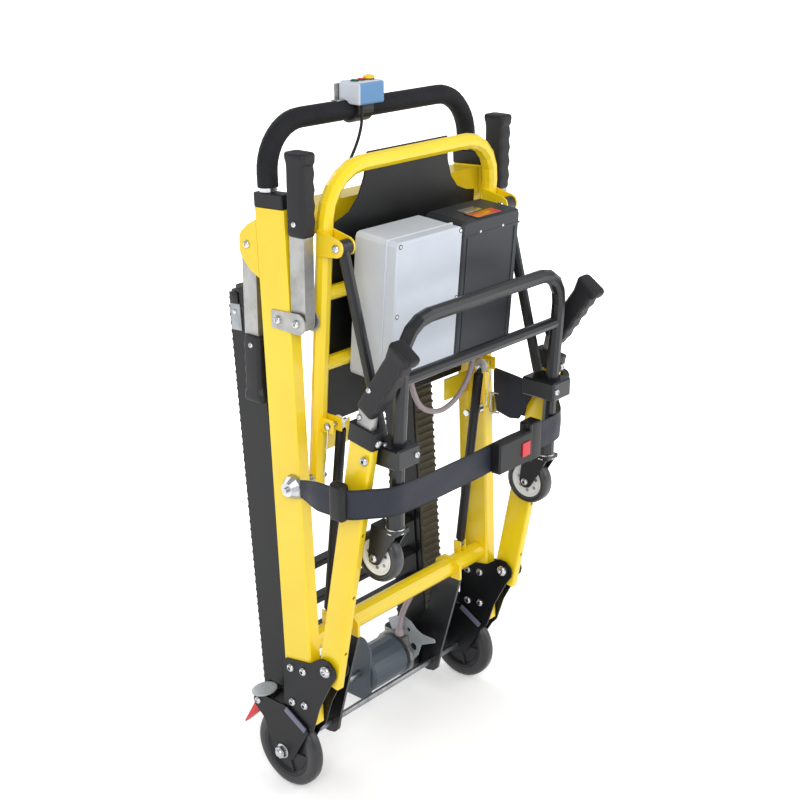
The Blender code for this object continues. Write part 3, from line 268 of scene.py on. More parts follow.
FINISHES = {
    "yellow": ("paint", (252, 222, 24), (250, 214, 18), (252, 232, 110), 0.30, 0.0),
    "black": ("paint", (14, 15, 18), (20, 21, 25), (74, 76, 80), 0.38, 0.0),
    "charcoal": ("paint", (20, 22, 25), (28, 30, 34), (80, 82, 86), 0.32, 0.0),
    "slate": ("paint", (82, 93, 104), (73, 84, 94), (142, 150, 158), 0.36, 0.0),
    # Light grey-blue painted highlight for the black fork's folded edge
    "fork_trim": ("paint", (104, 105, 126), (96, 98, 118), (152, 152, 168), 0.34, 0.0),
    "grey": ("metal", (168, 168, 166), (150, 150, 149), (205, 205, 203), 0.36, 0.85),
    "pale_grey": ("metal", (176, 182, 186), (160, 166, 170), (208, 212, 214), 0.40, 0.3),
    "steel": ("metal", (196, 197, 200), (174, 176, 180), (226, 227, 230), 0.20, 1.0),
    "zinc": ("metal", (150, 152, 156), (128, 130, 134), (196, 198, 202), 0.32, 0.95),
    "hard_black": ("plastic", (16, 17, 19), (22, 23, 26), (64, 66, 70), 0.42, 0.0),
    "battery": ("plastic", (42, 45, 50), (48, 51, 57), (92, 96, 102), 0.44, 0.0),
    "grip": ("plastic", (26, 26, 29), (34, 34, 37), (76, 76, 80), 0.50, 0.0),
    "white": ("plastic", (214, 220, 230), (206, 213, 224), (236, 240, 246), 0.36, 0.0),
    "hub": ("plastic", (238, 238, 236), (230, 230, 228), (250, 250, 248), 0.34, 0.0),
    "blue": ("plastic", (84, 132, 182), (96, 145, 194), (150, 188, 222), 0.34, 0.0),
    "red": ("plastic", (226, 44, 52), (212, 34, 44), (246, 130, 132), 0.34, 0.0),
    "green": ("plastic", (46, 150, 78), (38, 136, 70), (130, 206, 150), 0.34, 0.0),
    "amber": ("plastic", (250, 214, 46), (246, 202, 36), (252, 234, 140), 0.32, 0.0),
    "orange": ("plastic", (214, 112, 22), (200, 98, 16), (240, 170, 96), 0.22, 0.0),
    "conduit": ("plastic", (186, 172, 176), (174, 160, 165), (214, 204, 206), 0.40, 0.0),
    "foam": ("foam", (24, 25, 29), (33, 34, 39), (14, 14, 17), 0.72, 0.0),
    "track": ("rubber", (78, 76, 68), (92, 89, 80), (124, 121, 110), 0.66, 0.0),
    "tyre": ("rubber", (30, 31, 34), (38, 39, 42), (78, 79, 82), 0.33, 0.0),
}


def finish_sockets(tree, name):
    """The colour, roughness and normal sockets of one finish, and its metallic share."""
    kind, colour, tone, worn, rough, metallic = FINISHES[name]
    made = put(tree, "Group", {"Colour": linear(*colour), "Tone": linear(*tone),
                               "Worn": linear(*worn), "Rough": rough}, node_tree=GROUPS[kind])
    return made.outputs, metallic


def band(tree, kind, origin, direction, low, high):
    made = put(tree, "Group", {"Origin": origin, "Direction": Vector(direction).normalized(),
                               "Low": low, "High": high}, node_tree=GROUPS[kind])
    return made.outputs["Mask"]


def new_material(name, settings):
    """A material, its tree and its surface shader, with the shader's settings by name."""
    made = bpy.data.materials.new(name)
    made.use_nodes = True
    shader = made.node_tree.nodes["Principled BSDF"]
    for key, value in settings.items():
        shader.inputs[key].default_value = value
    return made, made.node_tree, shader


def material(name, finish, *bands, coat=0.0, specular=0.5):
    """A material with one finish, and other finishes inside the bands that follow it."""
    made, tree, shader = new_material(name, {"Coat Weight": coat, "Coat Roughness": 0.12,
                                             "Specular IOR Level": specular})
    outputs, metallic = finish_sockets(tree, finish)
    colour, rough, normal = outputs["Color"], outputs["Roughness"], outputs["Normal"]
    for other, *where in bands:
        mask = band(tree, *where)
        others, other_metallic = finish_sockets(tree, other)
        colour = blended(tree, mask, colour, others["Color"])
        rough = put(tree, "Mix", {0: mask, 2: rough, 3: others["Roughness"]}).outputs[0]
        normal = put(tree, "Mix", {0: mask, 4: normal, 5: others["Normal"]},
                     data_type="VECTOR").outputs[1]
        if other_metallic != metallic or isinstance(metallic, bpy.types.NodeSocket):
            metallic = put(tree, "Mix", {0: mask, 2: metallic, 3: other_metallic}).outputs[0]
    tree.links.new(colour, shader.inputs["Base Color"])
    tree.links.new(rough, shader.inputs["Roughness"])
    tree.links.new(normal, shader.inputs["Normal"])
    if isinstance(metallic, bpy.types.NodeSocket):
        tree.links.new(metallic, shader.inputs["Metallic"])
    else:
        shader.inputs["Metallic"].default_value = metallic
    return made


# Floor, surround and lamps

FLOOR_WIDE = 120.0
LAMP_AIM = (0.0, 0.0, 0.6)


def floor_material():
    """A pale floor that the camera and reflections see white, and that keeps the shadow."""
    made, tree, shader = new_material("pale_floor", {
        "Emission Color": (1.0, 1.0, 1.0, 1.0), "Roughness": 0.9, "Specular IOR Level": 0.0})
    path = put(tree, "LightPath").outputs
    seen = number(tree, path["Is Camera Ray"], path["Is Glossy Ray"], "MAXIMUM")
    coords = object_coords(tree)
    grain = speckle(tree, coords, 14.0, 5.0)
    pale = blended(tree, grain, linear(232, 232, 234), linear(238, 238, 240))
    white = blended(tree, grain, (1.0, 1.0, 1.0, 1.0), (0.985, 0.985, 0.985, 1.0))
    tree.links.new(blended(tree, seen, pale, white), shader.inputs["Base Color"])
    far = vector_maths(tree, "LENGTH", coords)
    clear = number(tree, seen, between(tree, far, 0.30, 1.50, 0.22, 1.0))
    tree.links.new(clear, shader.inputs["Emission Strength"])
    return made


def make_stage():
    bpy.ops.mesh.primitive_plane_add(size=FLOOR_WIDE, location=(0.0, 0.0, -0.0005))
    floor = bpy.context.object
    floor.name = "floor"
    bpy.ops.object.transform_apply(location=True, rotation=False, scale=True)
    floor.data.materials.append(floor_material())


def make_world():
    """An even studio surround: white to the camera and in reflections, softer as a light."""
    world = bpy.data.worlds.new("studio")
    bpy.context.scene.world = world
    world.use_nodes = True
    tree = world.node_tree
    back = tree.nodes["Background"]
    path = put(tree, "LightPath").outputs
    seen = number(tree, path["Is Camera Ray"], path["Is Transmission Ray"], "MAXIMUM")
    tree.links.new(between(tree, seen, 0.0, 1.0, 0.62, 1.0), back.inputs["Strength"])
    back.inputs["Color"].default_value = (1.0, 1.0, 1.0, 1.0)


def lamp(name, stand, size, power):
    """A square soft light that points at the object."""
    turn = (Vector(LAMP_AIM) - Vector(stand)).to_track_quat("-Z", "Y").to_euler()
    bpy.ops.object.light_add(type="AREA", location=stand, rotation=turn)
    made = bpy.context.object
    made.name = name
    made.data.shape = "SQUARE"
    made.data.size = size
    made.data.energy = power


make_stage()
make_world()
lamp("key_light", (-3.2, -2.6, 3.4), 2.6, 105.0)
lamp("side_light", (2.6, -3.2, 2.4), 2.4, 48.0)
lamp("back_light", (0.6, 3.6, 3.0), 2.4, 40.0)


# Frames of the leaning parts, as they are built

def leaning(depth, height, angle):
    """A frame whose Z leans forward by an angle, with its foot on the object's middle plane."""
    foot = Vector((0.0, depth, height)) + Vector((0.0, AXLE_Y, 0.0))
    return Matrix.Translation(foot) @ Matrix.Rotation(angle, 4, "X")


RAIL = leaning(-0.037, 0.28, -math.atan(0.0457))
SEAT = leaning(-0.044, 0.615, math.radians(3.9))
LEG = leaning(-0.111, 0.284, math.radians(10.2))
TRACK = leaning(0.060, 0.090, -math.radians(4.17))


def place(matrix, *point):
    return tuple(matrix @ Vector(point))


def way(matrix, *direction):
    return tuple(matrix.to_3x3() @ Vector(direction))


# Finishes on the frame's own pieces

def paint(made, *nodes):
    """Gives CAD nodes a material through their objects' slots."""
    for name in nodes:
        for spot in NODES[name].material_slots:
            spot.material = made


def pair(name):
    return "left_" + name, "right_" + name


YELLOW = material("yellow_powder_coat", "yellow", coat=0.35)
BLACK = material("black_powder_coat", "black", specular=0.28)
CHARCOAL = material("charcoal_tube_coat", "charcoal", coat=0.15, specular=0.35)
HARD_BLACK = material("hard_black_plastic", "hard_black", specular=0.32)
GREY = material("grey_anodised", "grey")
STEEL = material("bright_steel", "steel")
ZINC = material("zinc_plated_steel", "zinc")
WHITE = material("white_moulded_case", "white")
BATTERY = material("battery_case_plastic", "battery", specular=0.35)
GRIP = material("grip_rubber", "grip", specular=0.32)
FOAM = material("foam_sleeve_skin", "foam", specular=0.3)
SLATE = material("motor_coat", "slate")
TRACK_RUBBER = material("track_rubber_skin", "track")
TYRE = material("tyre_rubber_skin", "tyre", specular=0.6)
REAR_HUB_SKIN = material("rear_hub_plastic", "tyre", specular=0.3)
CONDUIT = material("conduit_plastic_skin", "conduit")
RED = material("red_push_plastic", "red")
GREEN = material("green_push_plastic", "green")
AMBER = material("amber_stop_plastic", "amber")
PALE_HUB = material("pale_hub_plastic", "hub")
# Painted shade for the pockets on the castor hubs
POCKET = material("hub_pocket_shade", "zinc")
ORANGE = material("orange_display_lens", "orange", coat=0.5)
# Painted highlight on the fork bars
FORK_LIP_HIGHLIGHT = material("fork_bar_coat", "fork_trim", coat=0.2)
PALE_GREY = material("pale_grey_casting", "pale_grey")

# Bands on nodes that carry two finishes: where one finish ends and the other begins

LINK_PLATES_TOP = 0.286
HANDLE_RINGS = 0.8303, 0.8366
GEARBOX_RING = 0.09, 0.1108
PULLEYS_ROUND = 0.0085, 0.05
UPPER_GRIP_FOOT = 1.0465
REAR_GRIP_FOOT = 0.8625
LOWER_GRIP_FOOT = 0.5005
FAR = 2.0

CROSS_COATS = material("cross_frame_coats", "yellow",
                       ("black", "along", CENTRE, UP, -1.0, LINK_PLATES_TOP), coat=0.3)
HANDLE_COATS = material("handle_coat_and_rings", "charcoal",
                        ("steel", "along", place(RAIL, 0, 0, 0), way(RAIL, 0, 0, 1),
                         *HANDLE_RINGS), coat=0.15, specular=0.35)
GEARBOX_COATS = material("gearbox_coat_and_ring", "charcoal",
                         ("grey", "along", CENTRE, OUT, *GEARBOX_RING))
SHAFT_AND_PULLEYS = material("shaft_and_drive_pulleys", "steel",
                             ("hard_black", "round", (0, 0.126, 0.09), OUT, *PULLEYS_ROUND))
UPPER_GRIP = material("upper_grip_and_bar", "grey",
                      ("grip", "along", CENTRE, UP, UPPER_GRIP_FOOT, FAR))
REAR_GRIP = material("rear_grip_and_bar", "grey",
                     ("grip", "along", CENTRE, UP, 0.0, REAR_GRIP_FOOT))
LOWER_GRIP = material("lower_grip_and_bar", "grey",
                      ("grip", "along", place(LEG, 0, 0, 0), way(LEG, 0, 0, 1),
                       LOWER_GRIP_FOOT, FAR))

paint(YELLOW, *pair("rail"), "upper_cross_panel", "seat_loop")
paint(CROSS_COATS, "lower_cross_frame")
paint(HANDLE_COATS, "push_handle_tube")
paint(HARD_BLACK, *pair("rail_cap"), *pair("idler_pulley"), "belt_buckle", "seat_panel")
paint(BLACK, *pair("side_plates"), *pair("wheel_fork"), *pair("track_frame"), "track_cross_frame")
paint(CHARCOAL, *pair("strut"), *pair("castor_fork"), "castor_frame")
paint(STEEL, *pair("seat_pivot"))
paint(ZINC, "wheel_axle")
paint(GREY, *pair("grip_bracket"))
paint(SLATE, "track_motor")
paint(GEARBOX_COATS, "motor_gearbox")
paint(SHAFT_AND_PULLEYS, "drive_shaft")
paint(RED, "buckle_button")
paint(UPPER_GRIP, *pair("upper_grip"))
paint(REAR_GRIP, *pair("rear_grip"))
paint(LOWER_GRIP, *pair("lower_grip"))
paint(WHITE, "control_enclosure", "enclosure_lid")
paint(BATTERY, "battery_pack")


# Modelling by hand

def nothing_picked():
    if bpy.context.object and bpy.context.object.mode != "OBJECT":
        bpy.ops.object.mode_set(mode="OBJECT")
    bpy.ops.object.select_all(action="DESELECT")


def edit(name):
    """Names the new primitive and opens it for editing, selected all over."""
    piece = bpy.context.object
    piece.name = name
    piece.data.name = name
    bpy.ops.object.transform_apply(location=True, rotation=True, scale=True)
    bpy.ops.object.mode_set(mode="EDIT")
    bpy.ops.mesh.select_mode(type="FACE")
    return piece


def pick(piece, test, what="faces"):
    """Selects the faces, edges or vertices of an open piece that pass a test."""
    mesh = bmesh.from_edit_mesh(piece.data)
    for part in [*mesh.faces, *mesh.edges, *mesh.verts]:
        part.select = False
    for part in getattr(mesh, what):
        if test(part):
            part.select_set(True)
    mesh.select_flush_mode()
    bmesh.update_edit_mesh(piece.data)


def shape_outline(piece, points):
    """Moves the vertices of an open circle onto points, in their order."""
    mesh = bmesh.from_edit_mesh(piece.data)
    mesh.verts.ensure_lookup_table()
    for vertex, point in zip(mesh.verts, points):
        vertex.co = point
    bmesh.update_edit_mesh(piece.data)


def close(piece, made, smooth=35.0):
    """Ends the editing: doubles merged, faces outward, smooth but for sharp edges."""
    bpy.ops.mesh.select_all(action="SELECT")
    bpy.ops.mesh.remove_doubles(threshold=0.00001)
    bpy.ops.mesh.normals_make_consistent(inside=False)
    bpy.ops.object.mode_set(mode="OBJECT")
    bpy.ops.object.shade_smooth_by_angle(angle=math.radians(smooth))
    piece.data.materials.clear()
    piece.data.materials.append(made)
    piece.select_set(False)
    return piece


def turned(name, made, foot, along, rings, sides=24, smooth=35.0):
    """A turned form: rings of (height, radius) up from a foot, each drawn from the last."""
    nothing_picked()
    foot, along = Vector(foot), Vector(along).normalized()
    height, radius = rings[0]
    bpy.ops.mesh.primitive_circle_add(vertices=sides, radius=radius, fill_type="NGON",
                                      location=foot + along * height,
                                      rotation=along.to_track_quat("Z", "Y").to_euler())
    piece = edit(name)
    for up, wide in rings[1:]:
        bpy.ops.mesh.extrude_region_move(
            TRANSFORM_OT_translate={"value": along * (up - height)})
        if abs(wide - radius) > 1e-7:
            share = wide / radius
            bpy.ops.transform.resize(value=(share, share, share),
                                     center_override=foot + along * up)
        height, radius = up, wide
    return close(piece, made, smooth)


def slab(name, made, low, high, round_by, steps=2, turn=None):
    """A block between two corners with eased edges, turned by a frame if one is given."""
    nothing_picked()
    low, high = Vector(low), Vector(high)
    bpy.ops.mesh.primitive_cube_add(size=1.0, location=(low + high) / 2)
    bpy.context.object.scale = high - low
    piece = edit(name)
    bpy.ops.mesh.bevel(offset=round_by, offset_type="OFFSET", segments=steps, affect="EDGES")
    close(piece, made)
    if turn is not None:
        piece.data.transform(turn)
    return piece


def plate(name, made, outline, low, high, round_by):
    """A plate: an outline in depth and height, drawn across the object from low to high."""
    nothing_picked()
    bpy.ops.mesh.primitive_circle_add(vertices=len(outline), radius=0.01, fill_type="NGON")
    piece = edit(name)
    shape_outline(piece, [Vector((low, deep + AXLE_Y, up)) for deep, up in outline])
    bpy.ops.mesh.extrude_region_move(TRANSFORM_OT_translate={"value": (high - low, 0.0, 0.0)})
    bpy.ops.mesh.select_all(action="SELECT")
    bpy.ops.mesh.bevel(offset=round_by, offset_type="OFFSET", segments=2, affect="EDGES")
    return close(piece, made)


def ring_form(name, made, centre, profile, steps, smooth):
    """A ring turned about an axle across the object; profile is (across, radius) round it."""
    nothing_picked()
    bpy.ops.mesh.primitive_circle_add(vertices=len(profile), radius=0.01)
    piece = edit(name)
    shape_outline(piece, [Vector(centre) + Vector((across, 0.0, radius))
                          for across, radius in profile])
    bpy.ops.mesh.select_mode(type="VERT")
    bpy.ops.mesh.select_all(action="SELECT")
    bpy.ops.mesh.spin(steps=steps, angle=2 * math.pi, center=centre, axis=OUT)
    return close(piece, made, smooth)


def bored(piece, smooth, *cutters):
    """Cuts shapes out of a piece and shades it again."""
    nothing_picked()
    bpy.context.view_layer.objects.active = piece
    piece.select_set(True)
    for cutter in cutters:
        cutting = piece.modifiers.new("bore", "BOOLEAN")
        cutting.operation = "DIFFERENCE"
        cutting.solver = "EXACT"
        cutting.object = cutter
        bpy.ops.object.modifier_apply(modifier="bore")
        bpy.data.objects.remove(cutter)
    bpy.ops.object.shade_smooth_by_angle(angle=math.radians(smooth))
    piece.select_set(False)
    return piece


def copied(piece, name, change):
    """A copy with its own mesh, moved by a matrix; a mirrored one is turned right side out."""
    twin = piece.copy()
    twin.data = piece.data.copy()
    twin.name = name
    twin.data.name = name
    bpy.context.scene.collection.objects.link(twin)
    twin.data.transform(change)
    if change.to_3x3().determinant() < 0.0:
        twin.data.flip_normals()
    return twin


def joined(name, *parts):
    """Several open pieces made one."""
    nothing_picked()
    for part in parts:
        part.select_set(True)
    bpy.context.view_layer.objects.active = parts[0]
    if len(parts) > 1:
        bpy.ops.object.join()
    parts[0].name = name
    parts[0].data.name = name
    parts[0].select_set(False)
    return parts[0]


def thickened(piece, thickness, offset):
    """Gives an open skin its wall."""
    wall = piece.modifiers.new("wall", "SOLIDIFY")
    wall.thickness = thickness
    wall.offset = offset
    bpy.ops.object.modifier_apply(modifier="wall")
    bpy.ops.object.mode_set(mode="EDIT")


ROUTE_STEPS = 24


def smooth_route(points, count):
    """Points spread evenly along a smooth line through the given points, and its length."""
    given = [Vector(p) for p in points]
    line = []
    for i in range(len(given) - 1):
        before = given[max(i - 1, 0)]
        start, end = given[i], given[i + 1]
        after = given[min(i + 2, len(given) - 1)]
        for step in range(ROUTE_STEPS):
            t = step / ROUTE_STEPS
            line.append(0.5 * (2 * start + (end - before) * t
                               + (2 * before - 5 * start + 4 * end - after) * t * t
                               + (3 * start - before - 3 * end + after) * t ** 3))
    line.append(given[-1])
    runs = [0.0]
    for a, b in zip(line, line[1:]):
        runs.append(runs[-1] + (b - a).length)
    even, at_run = [], 0
    for i in range(count):
        want = runs[-1] * i / (count - 1)
        while at_run < len(runs) - 2 and runs[at_run + 1] < want:
            at_run += 1
        share = (want - runs[at_run]) / (runs[at_run + 1] - runs[at_run])
        even.append(line[at_run].lerp(line[at_run + 1], min(max(share, 0.0), 1.0)))
    return even, runs[-1]


def tube(name, made, points, radius, sides=12):
    """A round bar along points, made a mesh with closed ends."""
    nothing_picked()
    path = bpy.data.curves.new(name, "CURVE")
    path.dimensions = "3D"
    spline = path.splines.new("POLY")
    spline.points.add(len(points) - 1)
    for spot, point in zip(spline.points, points):
        spot.co = (*point, 1.0)
    path.bevel_depth = radius
    path.bevel_resolution = max(sides // 4 - 1, 0)
    path.use_fill_caps = True
    piece = bpy.data.objects.new(name, path)
    bpy.context.scene.collection.objects.link(piece)
    bpy.context.view_layer.objects.active = piece
    piece.select_set(True)
    bpy.ops.object.convert(target="MESH")
    piece = bpy.context.object
    bpy.ops.object.mode_set(mode="EDIT")
    return close(piece, made, 50.0)


# Placing pieces on their bodies

MIRROR = Matrix.Diagonal((-1.0, 1.0, 1.0, 1.0))


def ride_all(body, slot_name, *pieces):
    for made in pieces:
        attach(made, body)


def ride_pair(body, slot_name, *pieces, replaces=None):
    """Rides right-hand pieces and their mirror images; SIDE in a name stands for each side."""
    for piece in pieces:
        twin = copied(piece, piece.name.replace("right", "left"), MIRROR)
        for side, made in (("right", piece), ("left", twin)):
            ride_all(body.replace("SIDE", side), slot_name, made)
            if replaces:
                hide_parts(replaces.replace("SIDE", side))


# Track belts

TRACK_LONG = 0.797
TRACK_MID = 0.190
TRACK_HALF = 0.025
BELT_INSIDE = 0.0366
BELT_THICK = 0.0038
BELT_ROUND = BELT_INSIDE + BELT_THICK
BELT_CUTS = 30
LUG_TALL = 0.0046
LUG_PITCH = 0.0150
LUG_LONG = 0.0084
LUG_SUNK = 0.0006
LUG_CROWN = (0.975, 1.0, 0.52)
LUG_EASED = 0.0011


def on_loop(run):
    """Place and outward turn on the belt's face, in the track's own frame."""
    bend = math.pi * BELT_ROUND
    run %= 2.0 * (TRACK_LONG + bend)
    if run < TRACK_LONG:
        return Vector((0.0, BELT_ROUND, run)), 0.0
    run -= TRACK_LONG
    if run < bend:
        turn = math.pi * run / bend
        return Vector((0.0, BELT_ROUND * math.cos(turn),
                       TRACK_LONG + BELT_ROUND * math.sin(turn))), turn
    run -= bend
    if run < TRACK_LONG:
        return Vector((0.0, -BELT_ROUND, TRACK_LONG - run)), math.pi
    turn = math.pi * (1.0 + (run - TRACK_LONG) / bend)
    return Vector((0.0, BELT_ROUND * math.cos(turn), BELT_ROUND * math.sin(turn))), turn


def belt_band():
    """The closed band: a drum drawn out along the track, then given its thickness."""
    nothing_picked()
    bpy.ops.mesh.primitive_cylinder_add(vertices=56, radius=BELT_ROUND, depth=2 * TRACK_HALF,
                                        end_fill_type="NOTHING",
                                        rotation=(0.0, math.pi / 2, 0.0))
    skin = edit("belt_band")
    pick(skin, lambda v: v.co.z > 0.0001, "verts")
    bpy.ops.transform.translate(value=(0.0, 0.0, TRACK_LONG))
    pick(skin, lambda e: abs(e.verts[0].co.z - e.verts[1].co.z) > 0.5, "edges")
    bpy.ops.mesh.subdivide(number_cuts=BELT_CUTS)
    bpy.ops.mesh.select_all(action="SELECT")
    bpy.ops.mesh.normals_make_consistent(inside=False)
    bpy.ops.object.mode_set(mode="OBJECT")
    thickened(skin, BELT_THICK, -1.0)
    return close(skin, TRACK_RUBBER, 30.0)


def belt_lug():
    """One cross lug with a narrower, eased crown, standing along Y from the origin."""
    nothing_picked()
    bpy.ops.mesh.primitive_cube_add(size=1.0, location=(0.0, LUG_TALL / 2 - LUG_SUNK, 0.0))
    bpy.context.object.scale = (2 * TRACK_HALF - 2 * LUG_SUNK, LUG_TALL + 2 * LUG_SUNK, LUG_LONG)
    lug = edit("belt_lug")
    pick(lug, lambda f: f.normal.y > 0.9)
    bpy.ops.transform.resize(value=LUG_CROWN, center_override=(0.0, LUG_TALL, 0.0))
    pick(lug, lambda e: all(v.co.y > LUG_TALL * 0.8 for v in e.verts), "edges")
    bpy.ops.mesh.bevel(offset=LUG_EASED, segments=2, affect="EDGES")
    return close(lug, TRACK_RUBBER, 50.0)


def make_track_belt(side, sign):
    skin, lug = belt_band(), belt_lug()
    total = 2.0 * (TRACK_LONG + math.pi * BELT_ROUND)
    count = round(total / LUG_PITCH)
    lugs = []
    for i in range(count):
        spot, turn = on_loop(total * i / count)
        stand = Matrix.Translation(spot) @ Matrix.Rotation(turn, 4, "X")
        lugs.append(copied(lug, "belt_lug_copy", stand))
    bpy.data.objects.remove(lug)
    belt = joined(side + "_track_belt_lugged", skin, *lugs)
    belt.data.transform(TRACK @ Matrix.Translation((sign * TRACK_MID, 0.0, 0.0)))
    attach(belt, "track_unit")
    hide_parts(side + "_track_belt")


make_track_belt("left", -1)
make_track_belt("right", 1)


# Foam sleeve on the push handle

HANDLE_OFF = 0.0112
HANDLE_TOP = 0.9375
HANDLE_BEND = 0.080
FOAM_LOW = 0.8372
FOAM_R = 0.0172


def handle_arch():
    """The handle's middle line, an upside-down U, in the rails' frame."""
    high = HANDLE_TOP - HANDLE_BEND
    side = [(-RAIL_X, FOAM_LOW + (high - FOAM_LOW) * i / 6) for i in range(6)]
    for i in range(11):
        turn = math.pi / 2 * i / 10
        side.append((-RAIL_X + HANDLE_BEND - HANDLE_BEND * math.cos(turn),
                     high + HANDLE_BEND * math.sin(turn)))
    top = [(-RAIL_X + HANDLE_BEND + (2 * RAIL_X - 2 * HANDLE_BEND) * i / 10, HANDLE_TOP)
           for i in range(1, 10)]
    other = [(-x, z) for x, z in reversed(side)]
    return [Vector((x, HANDLE_OFF, z)) for x, z in side + top + other]


def make_foam_sleeve():
    """The sleeve along the arch, with a lip and a small step pressed into each end."""
    sleeve = tube("foam_sleeve", FOAM, [RAIL @ p for p in handle_arch()], FOAM_R, 24)
    nothing_picked()
    sleeve.select_set(True)
    bpy.context.view_layer.objects.active = sleeve
    bpy.ops.object.mode_set(mode="EDIT")
    pick(sleeve, lambda f: len(f.verts) > 8)
    bpy.ops.mesh.inset(thickness=0.0022, depth=0.0016)
    bpy.ops.mesh.inset(thickness=0.0030, depth=-0.0012)
    close(sleeve, FOAM, 40.0)
    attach(sleeve, "push_handle")
    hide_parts("handle_foam_grip")


make_foam_sleeve()


# Control cable, motor conduit and battery lead

LEAD_R = 0.0026
CONDUIT_R = 0.0060
SHEATH_R = 0.0050


def shifted(points):
    return [Vector((x, y + AXLE_Y, z)) for x, y, z in points]


LEAD_ROUTE = shifted([(-0.055, -0.010, 1.2305), (-0.0551, -0.0103, 1.214),
                      (-0.0575, -0.0108, 1.192), (-0.066, -0.0095, 1.166), (-0.080, -0.006, 1.138),
                      (-0.094, -0.0005, 1.112), (-0.0995, 0.0025, 1.092), (-0.100, 0.0040, 1.070)])
CONDUIT_ROUTE = shifted([(0.1040, 0.0450, 0.1382), (0.1042, 0.0448, 0.156),
                         (0.1050, 0.0385, 0.188), (0.1060, 0.0210, 0.228), (0.1060, 0.0050, 0.256),
                         (0.106, -0.00964, 0.27064), (0.106, -0.0230, 0.2840),
                         (0.106, -0.0365, 0.2975)])
SHEATH_ROUTE = [SEAT @ Vector(p) for p in (
    (-0.050, -0.060, 0.184), (-0.050, -0.060, 0.168), (-0.044, -0.0595, 0.138),
    (-0.018, -0.058, 0.096), (0.020, -0.055, 0.073), (0.062, -0.050, 0.064),
    (0.105, -0.0465, 0.076), (0.136, -0.0440, 0.106), (0.148, -0.043, 0.146),
    (0.150, -0.043, 0.170), (0.150, -0.043, 0.184))]


def make_cord(name, made, route, radius, node, slot_name, count, sides, *bodies):
    """A cord along its route; with one body it rides that body, with two it is left where it is
    made.
    """
    points, _ = smooth_route(route, count)
    cord = tube(name, made, points, radius, sides)
    if len(bodies) == 2:
        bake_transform(cord)
    else:
        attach(cord, *bodies)
    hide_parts(node)


make_cord("control_lead", HARD_BLACK, LEAD_ROUTE, LEAD_R, "control_cable", "black_plastic",
          40, 12, "back_frame", "push_handle")
make_cord("motor_lead_conduit", CONDUIT, CONDUIT_ROUTE, CONDUIT_R, "motor_conduit",
          "conduit_plastic", 48, 20, "back_frame")
make_cord("battery_lead_sheath", CONDUIT, SHEATH_ROUTE, SHEATH_R, "battery_lead",
          "conduit_plastic", 60, 20, "seat")


# Lap belt

BELT_X = 0.28855
BELT_LOW = 0.606
BELT_TOP = 0.658
BELT_MID = (BELT_LOW + BELT_TOP) / 2
STUD_Z = 0.615
STRAP_WIDE = 0.052
STRAP_THICK = 0.0020
STRAP_COLUMNS = 140
STRAP_ROWS = 8
GATHERED = 0.40
GATHERED_LONG = 0.055
RISE_LONG = 0.16
RISE_SHARE = 0.9
SAG = 0.0016
WAVE, WAVE_TURNS = 0.0012, 23.0
CUP, CUP_TURNS = 0.0009, 41.0
SELVEDGE = 0.0215, 0.0235
WARP_TURNS = 6283.0
RIB_TURNS = 3490.0


def webbing_material():
    """Woven strap: ribs across, fine warp along, a darker selvedge and a soft sheen."""
    made, tree, shader = new_material("woven_strap", {
        "Sheen Weight": 0.08, "Sheen Roughness": 0.4, "Specular IOR Level": 0.3})
    uv = put(tree, "UVMap", uv_map="strap").outputs[0]
    split = put(tree, "SeparateXYZ", {0: uv}).outputs
    warp = put(tree, "Math", {0: number(tree, split[1], WARP_TURNS)}, operation="SINE").outputs[0]
    ribs = put(tree, "Math", {0: number(tree, split[0], RIB_TURNS)}, operation="SINE").outputs[0]
    weave = between(tree, number(tree, warp, ribs), -1.0, 1.0)
    coords = object_coords(tree)
    fuzz = speckle(tree, coords, 1400.0, 3.0, 0.6)
    fade = between(tree, speckle(tree, coords, 14.0, 4.0), 0.35, 0.68)
    away = put(tree, "Math", {0: split[1]}, operation="ABSOLUTE").outputs[0]
    base = blended(tree, fade, linear(22, 24, 32), linear(34, 37, 48))
    threads = blended(tree, weave, base, linear(44, 47, 60))
    dull = blended(tree, between(tree, away, *SELVEDGE), threads, linear(16, 17, 22))
    fluffy = blended(tree, number(tree, fuzz, 0.25), dull, linear(58, 61, 74))
    tree.links.new(fluffy, shader.inputs["Base Color"])
    tree.links.new(between(tree, weave, 0.0, 1.0, 0.62, 0.48), shader.inputs["Roughness"])
    high = added(tree, weave, fuzz, 0.3)
    tree.links.new(raised(tree, high, 0.5, 0.0004), shader.inputs["Normal"])
    return made


WEBBING = webbing_material()


def strap_line():
    """The strap's middle line, in plan, from stud to stud, with its lie a little uneven."""
    half = [(-0.2752, 0.0), (-0.2792, -0.018), (-0.2852, -0.037), (-BELT_X, -0.060),
            (-BELT_X, -0.104), (-0.2835, -0.125), (-0.262, -0.1470), (-0.240, -0.1655),
            (-0.218, -0.1724), (-0.190, -0.1731), (-0.120, -0.1728), (-0.060, -0.1731)]
    points = half + [(0.0, -0.1731)] + [(-x, y) for x, y in reversed(half)]
    return smooth_route([(x, y, 0.0) for x, y in points], STRAP_COLUMNS + 1)


def strap_height(run, length, share):
    """Height on the strap: gathered and risen to the studs at its ends, sagging between."""
    end = min(run, length - run)
    gathered = 1.0 - GATHERED * max(0.0, 1.0 - end / GATHERED_LONG) ** 1.2
    sag = -SAG * math.sin(math.pi * run / length) - WAVE * math.sin(run * WAVE_TURNS)
    risen = (STUD_Z + 0.004 - BELT_MID) * max(0.0, 1.0 - end / RISE_LONG) ** 2 * RISE_SHARE
    return BELT_MID + STRAP_WIDE * share * gathered + sag + risen


